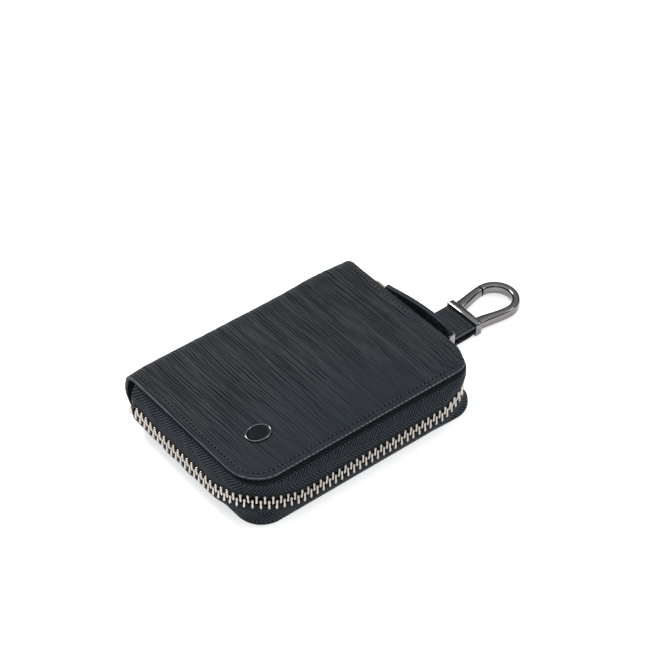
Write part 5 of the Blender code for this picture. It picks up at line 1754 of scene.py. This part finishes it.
def make_camera():
    """The camera at the photograph's angle: it looks at the origin, which a shift moves in the frame."""
    camera = bpy.data.objects.new("camera", bpy.data.cameras.new("camera"))
    azimuth, elevation = math.radians(CAMERA_AZIMUTH), math.radians(CAMERA_ELEVATION)
    away = Vector((math.sin(azimuth) * math.cos(elevation), -math.cos(azimuth) * math.cos(elevation),
                   math.sin(elevation)))
    camera.location = away * CAMERA_DISTANCE
    camera.rotation_mode = "QUATERNION"
    camera.rotation_quaternion = (-away).to_track_quat("-Z", "Y")
    camera.data.sensor_width = 36.0
    camera.data.lens = FOCAL_PIXELS / PICTURE * camera.data.sensor_width
    camera.data.shift_x = (PICTURE / 2 - ORIGIN_PIXEL[0]) / PICTURE
    camera.data.shift_y = (ORIGIN_PIXEL[1] - PICTURE / 2) / PICTURE
    camera.data.clip_start = 0.01
    bpy.context.scene.collection.objects.link(camera)
    bpy.context.scene.camera = camera


def make_lamp(name, place, size, power):
    """A square soft lamp aimed at the case."""
    light = bpy.data.lights.new(name, "AREA")
    light.shape = "SQUARE"
    light.size = size
    light.energy = power
    lamp = bpy.data.objects.new(name, light)
    lamp.location = place
    lamp.rotation_mode = "QUATERNION"
    lamp.rotation_quaternion = (-Vector(place)).to_track_quat("-Z", "Y")
    bpy.context.scene.collection.objects.link(lamp)


def seen_directly(tree):
    """Share of light paths that see a surface straight on or in a mirror: 1 for those, 0 for others."""
    path = add(tree, "ShaderNodeLightPath").outputs
    either = calculate(tree, "MAXIMUM", path["Is Camera Ray"], path["Is Glossy Ray"])
    return calculate(tree, "MAXIMUM", either, path["Is Transmission Ray"])


def make_world():
    """A studio around the stage: a dark band above the horizon under a pale ceiling."""
    world = bpy.data.worlds.new("studio")
    world.use_nodes = True
    tree = world.node_tree
    tree.nodes.clear()
    height = split(tree, add(tree, "ShaderNodeTexCoord").outputs["Generated"])[2]
    band = ranged(tree, height, 0.35, 0.95, 0.05, 0.95, interpolation_type="SMOOTHSTEP")
    straight = add(tree, "ShaderNodeLightPath").outputs["Is Camera Ray"]
    light = add(tree, "ShaderNodeBackground", {"Color": (1.0, 1.0, 1.0, 1.0),
                                               "Strength": calculate(tree, "MAXIMUM", band, straight)})
    add(tree, "ShaderNodeOutputWorld", {"Surface": light.outputs[0]})
    bpy.context.scene.world = world


def make_floor():
    """A wide white floor that keeps the object's soft shadow."""
    half = FLOOR_HALF
    points = np.array([(-half, -half, 0.0), (half, -half, 0.0), (half, half, 0.0), (-half, half, 0.0)])
    made, tree, shader = new_material("white_floor", {
        "Base Color": (0.86, 0.86, 0.86, 1.0), "Roughness": 1.0, "Specular IOR Level": 0.0,
        "Emission Color": (1.0, 1.0, 1.0, 1.0)})
    feed(tree, shader, {"Emission Strength": calculate(tree, "MULTIPLY", seen_directly(tree), FLOOR_GLOW)})
    floor = make_piece("floor", points - (0, 0, 0.00002), [(0, 1, 2, 3)], [made])


class SetStage(bpy.types.Operator):
    """Makes the floor, the lamps, the surround and the camera"""
    bl_idname = "key_holder.stage"
    bl_label = "Stage"

    def execute(self, context):
        make_world()
        make_floor()
        make_camera()
        for lamp in LAMPS:
            make_lamp(*lamp)
        bpy.context.scene.view_settings.view_transform = "Standard"
        return {"FINISHED"}


# The add-on

OPERATORS = (SetStage, DressCovers, DressLinings, DressZip, DressSlider, DressPull, DressStrap, DressClip,
             DressBadge, DressFittings)


class KeyHolderPanel(bpy.types.Panel):
    """Lists the pieces with the sizes and colours that can be changed"""
    bl_idname = "VIEW3D_PT_key_holder"
    bl_label = "Key holder"
    bl_space_type = "VIEW_3D"
    bl_region_type = "UI"
    bl_category = "Key holder"

    def draw(self, context):
        for kind in OPERATORS:
            self.layout.operator(kind.bl_idname)
        for group in (context.scene.key_holder_sizes, context.scene.key_holder_colours):
            box = self.layout.box()
            for key in group.bl_rna.properties.keys():
                if key not in ("rna_type", "name"):
                    box.prop(group, key)


CLASSES = (KeyHolderSizes, KeyHolderColours, *OPERATORS, KeyHolderPanel)


def register():
    for kind in CLASSES:
        bpy.utils.register_class(kind)
    bpy.types.Scene.key_holder_sizes = PointerProperty(type=KeyHolderSizes)
    bpy.types.Scene.key_holder_colours = PointerProperty(type=KeyHolderColours)


def unregister():
    del bpy.types.Scene.key_holder_sizes
    del bpy.types.Scene.key_holder_colours
    for kind in reversed(CLASSES):
        bpy.utils.unregister_class(kind)


def main():
    """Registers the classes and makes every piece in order."""
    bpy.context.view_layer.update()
    register()
    for kind in OPERATORS:
        group, name = kind.bl_idname.split(".")
        getattr(getattr(bpy.ops, group), name)()
    bpy.context.view_layer.update()


if __name__ == "__main__":
    main()
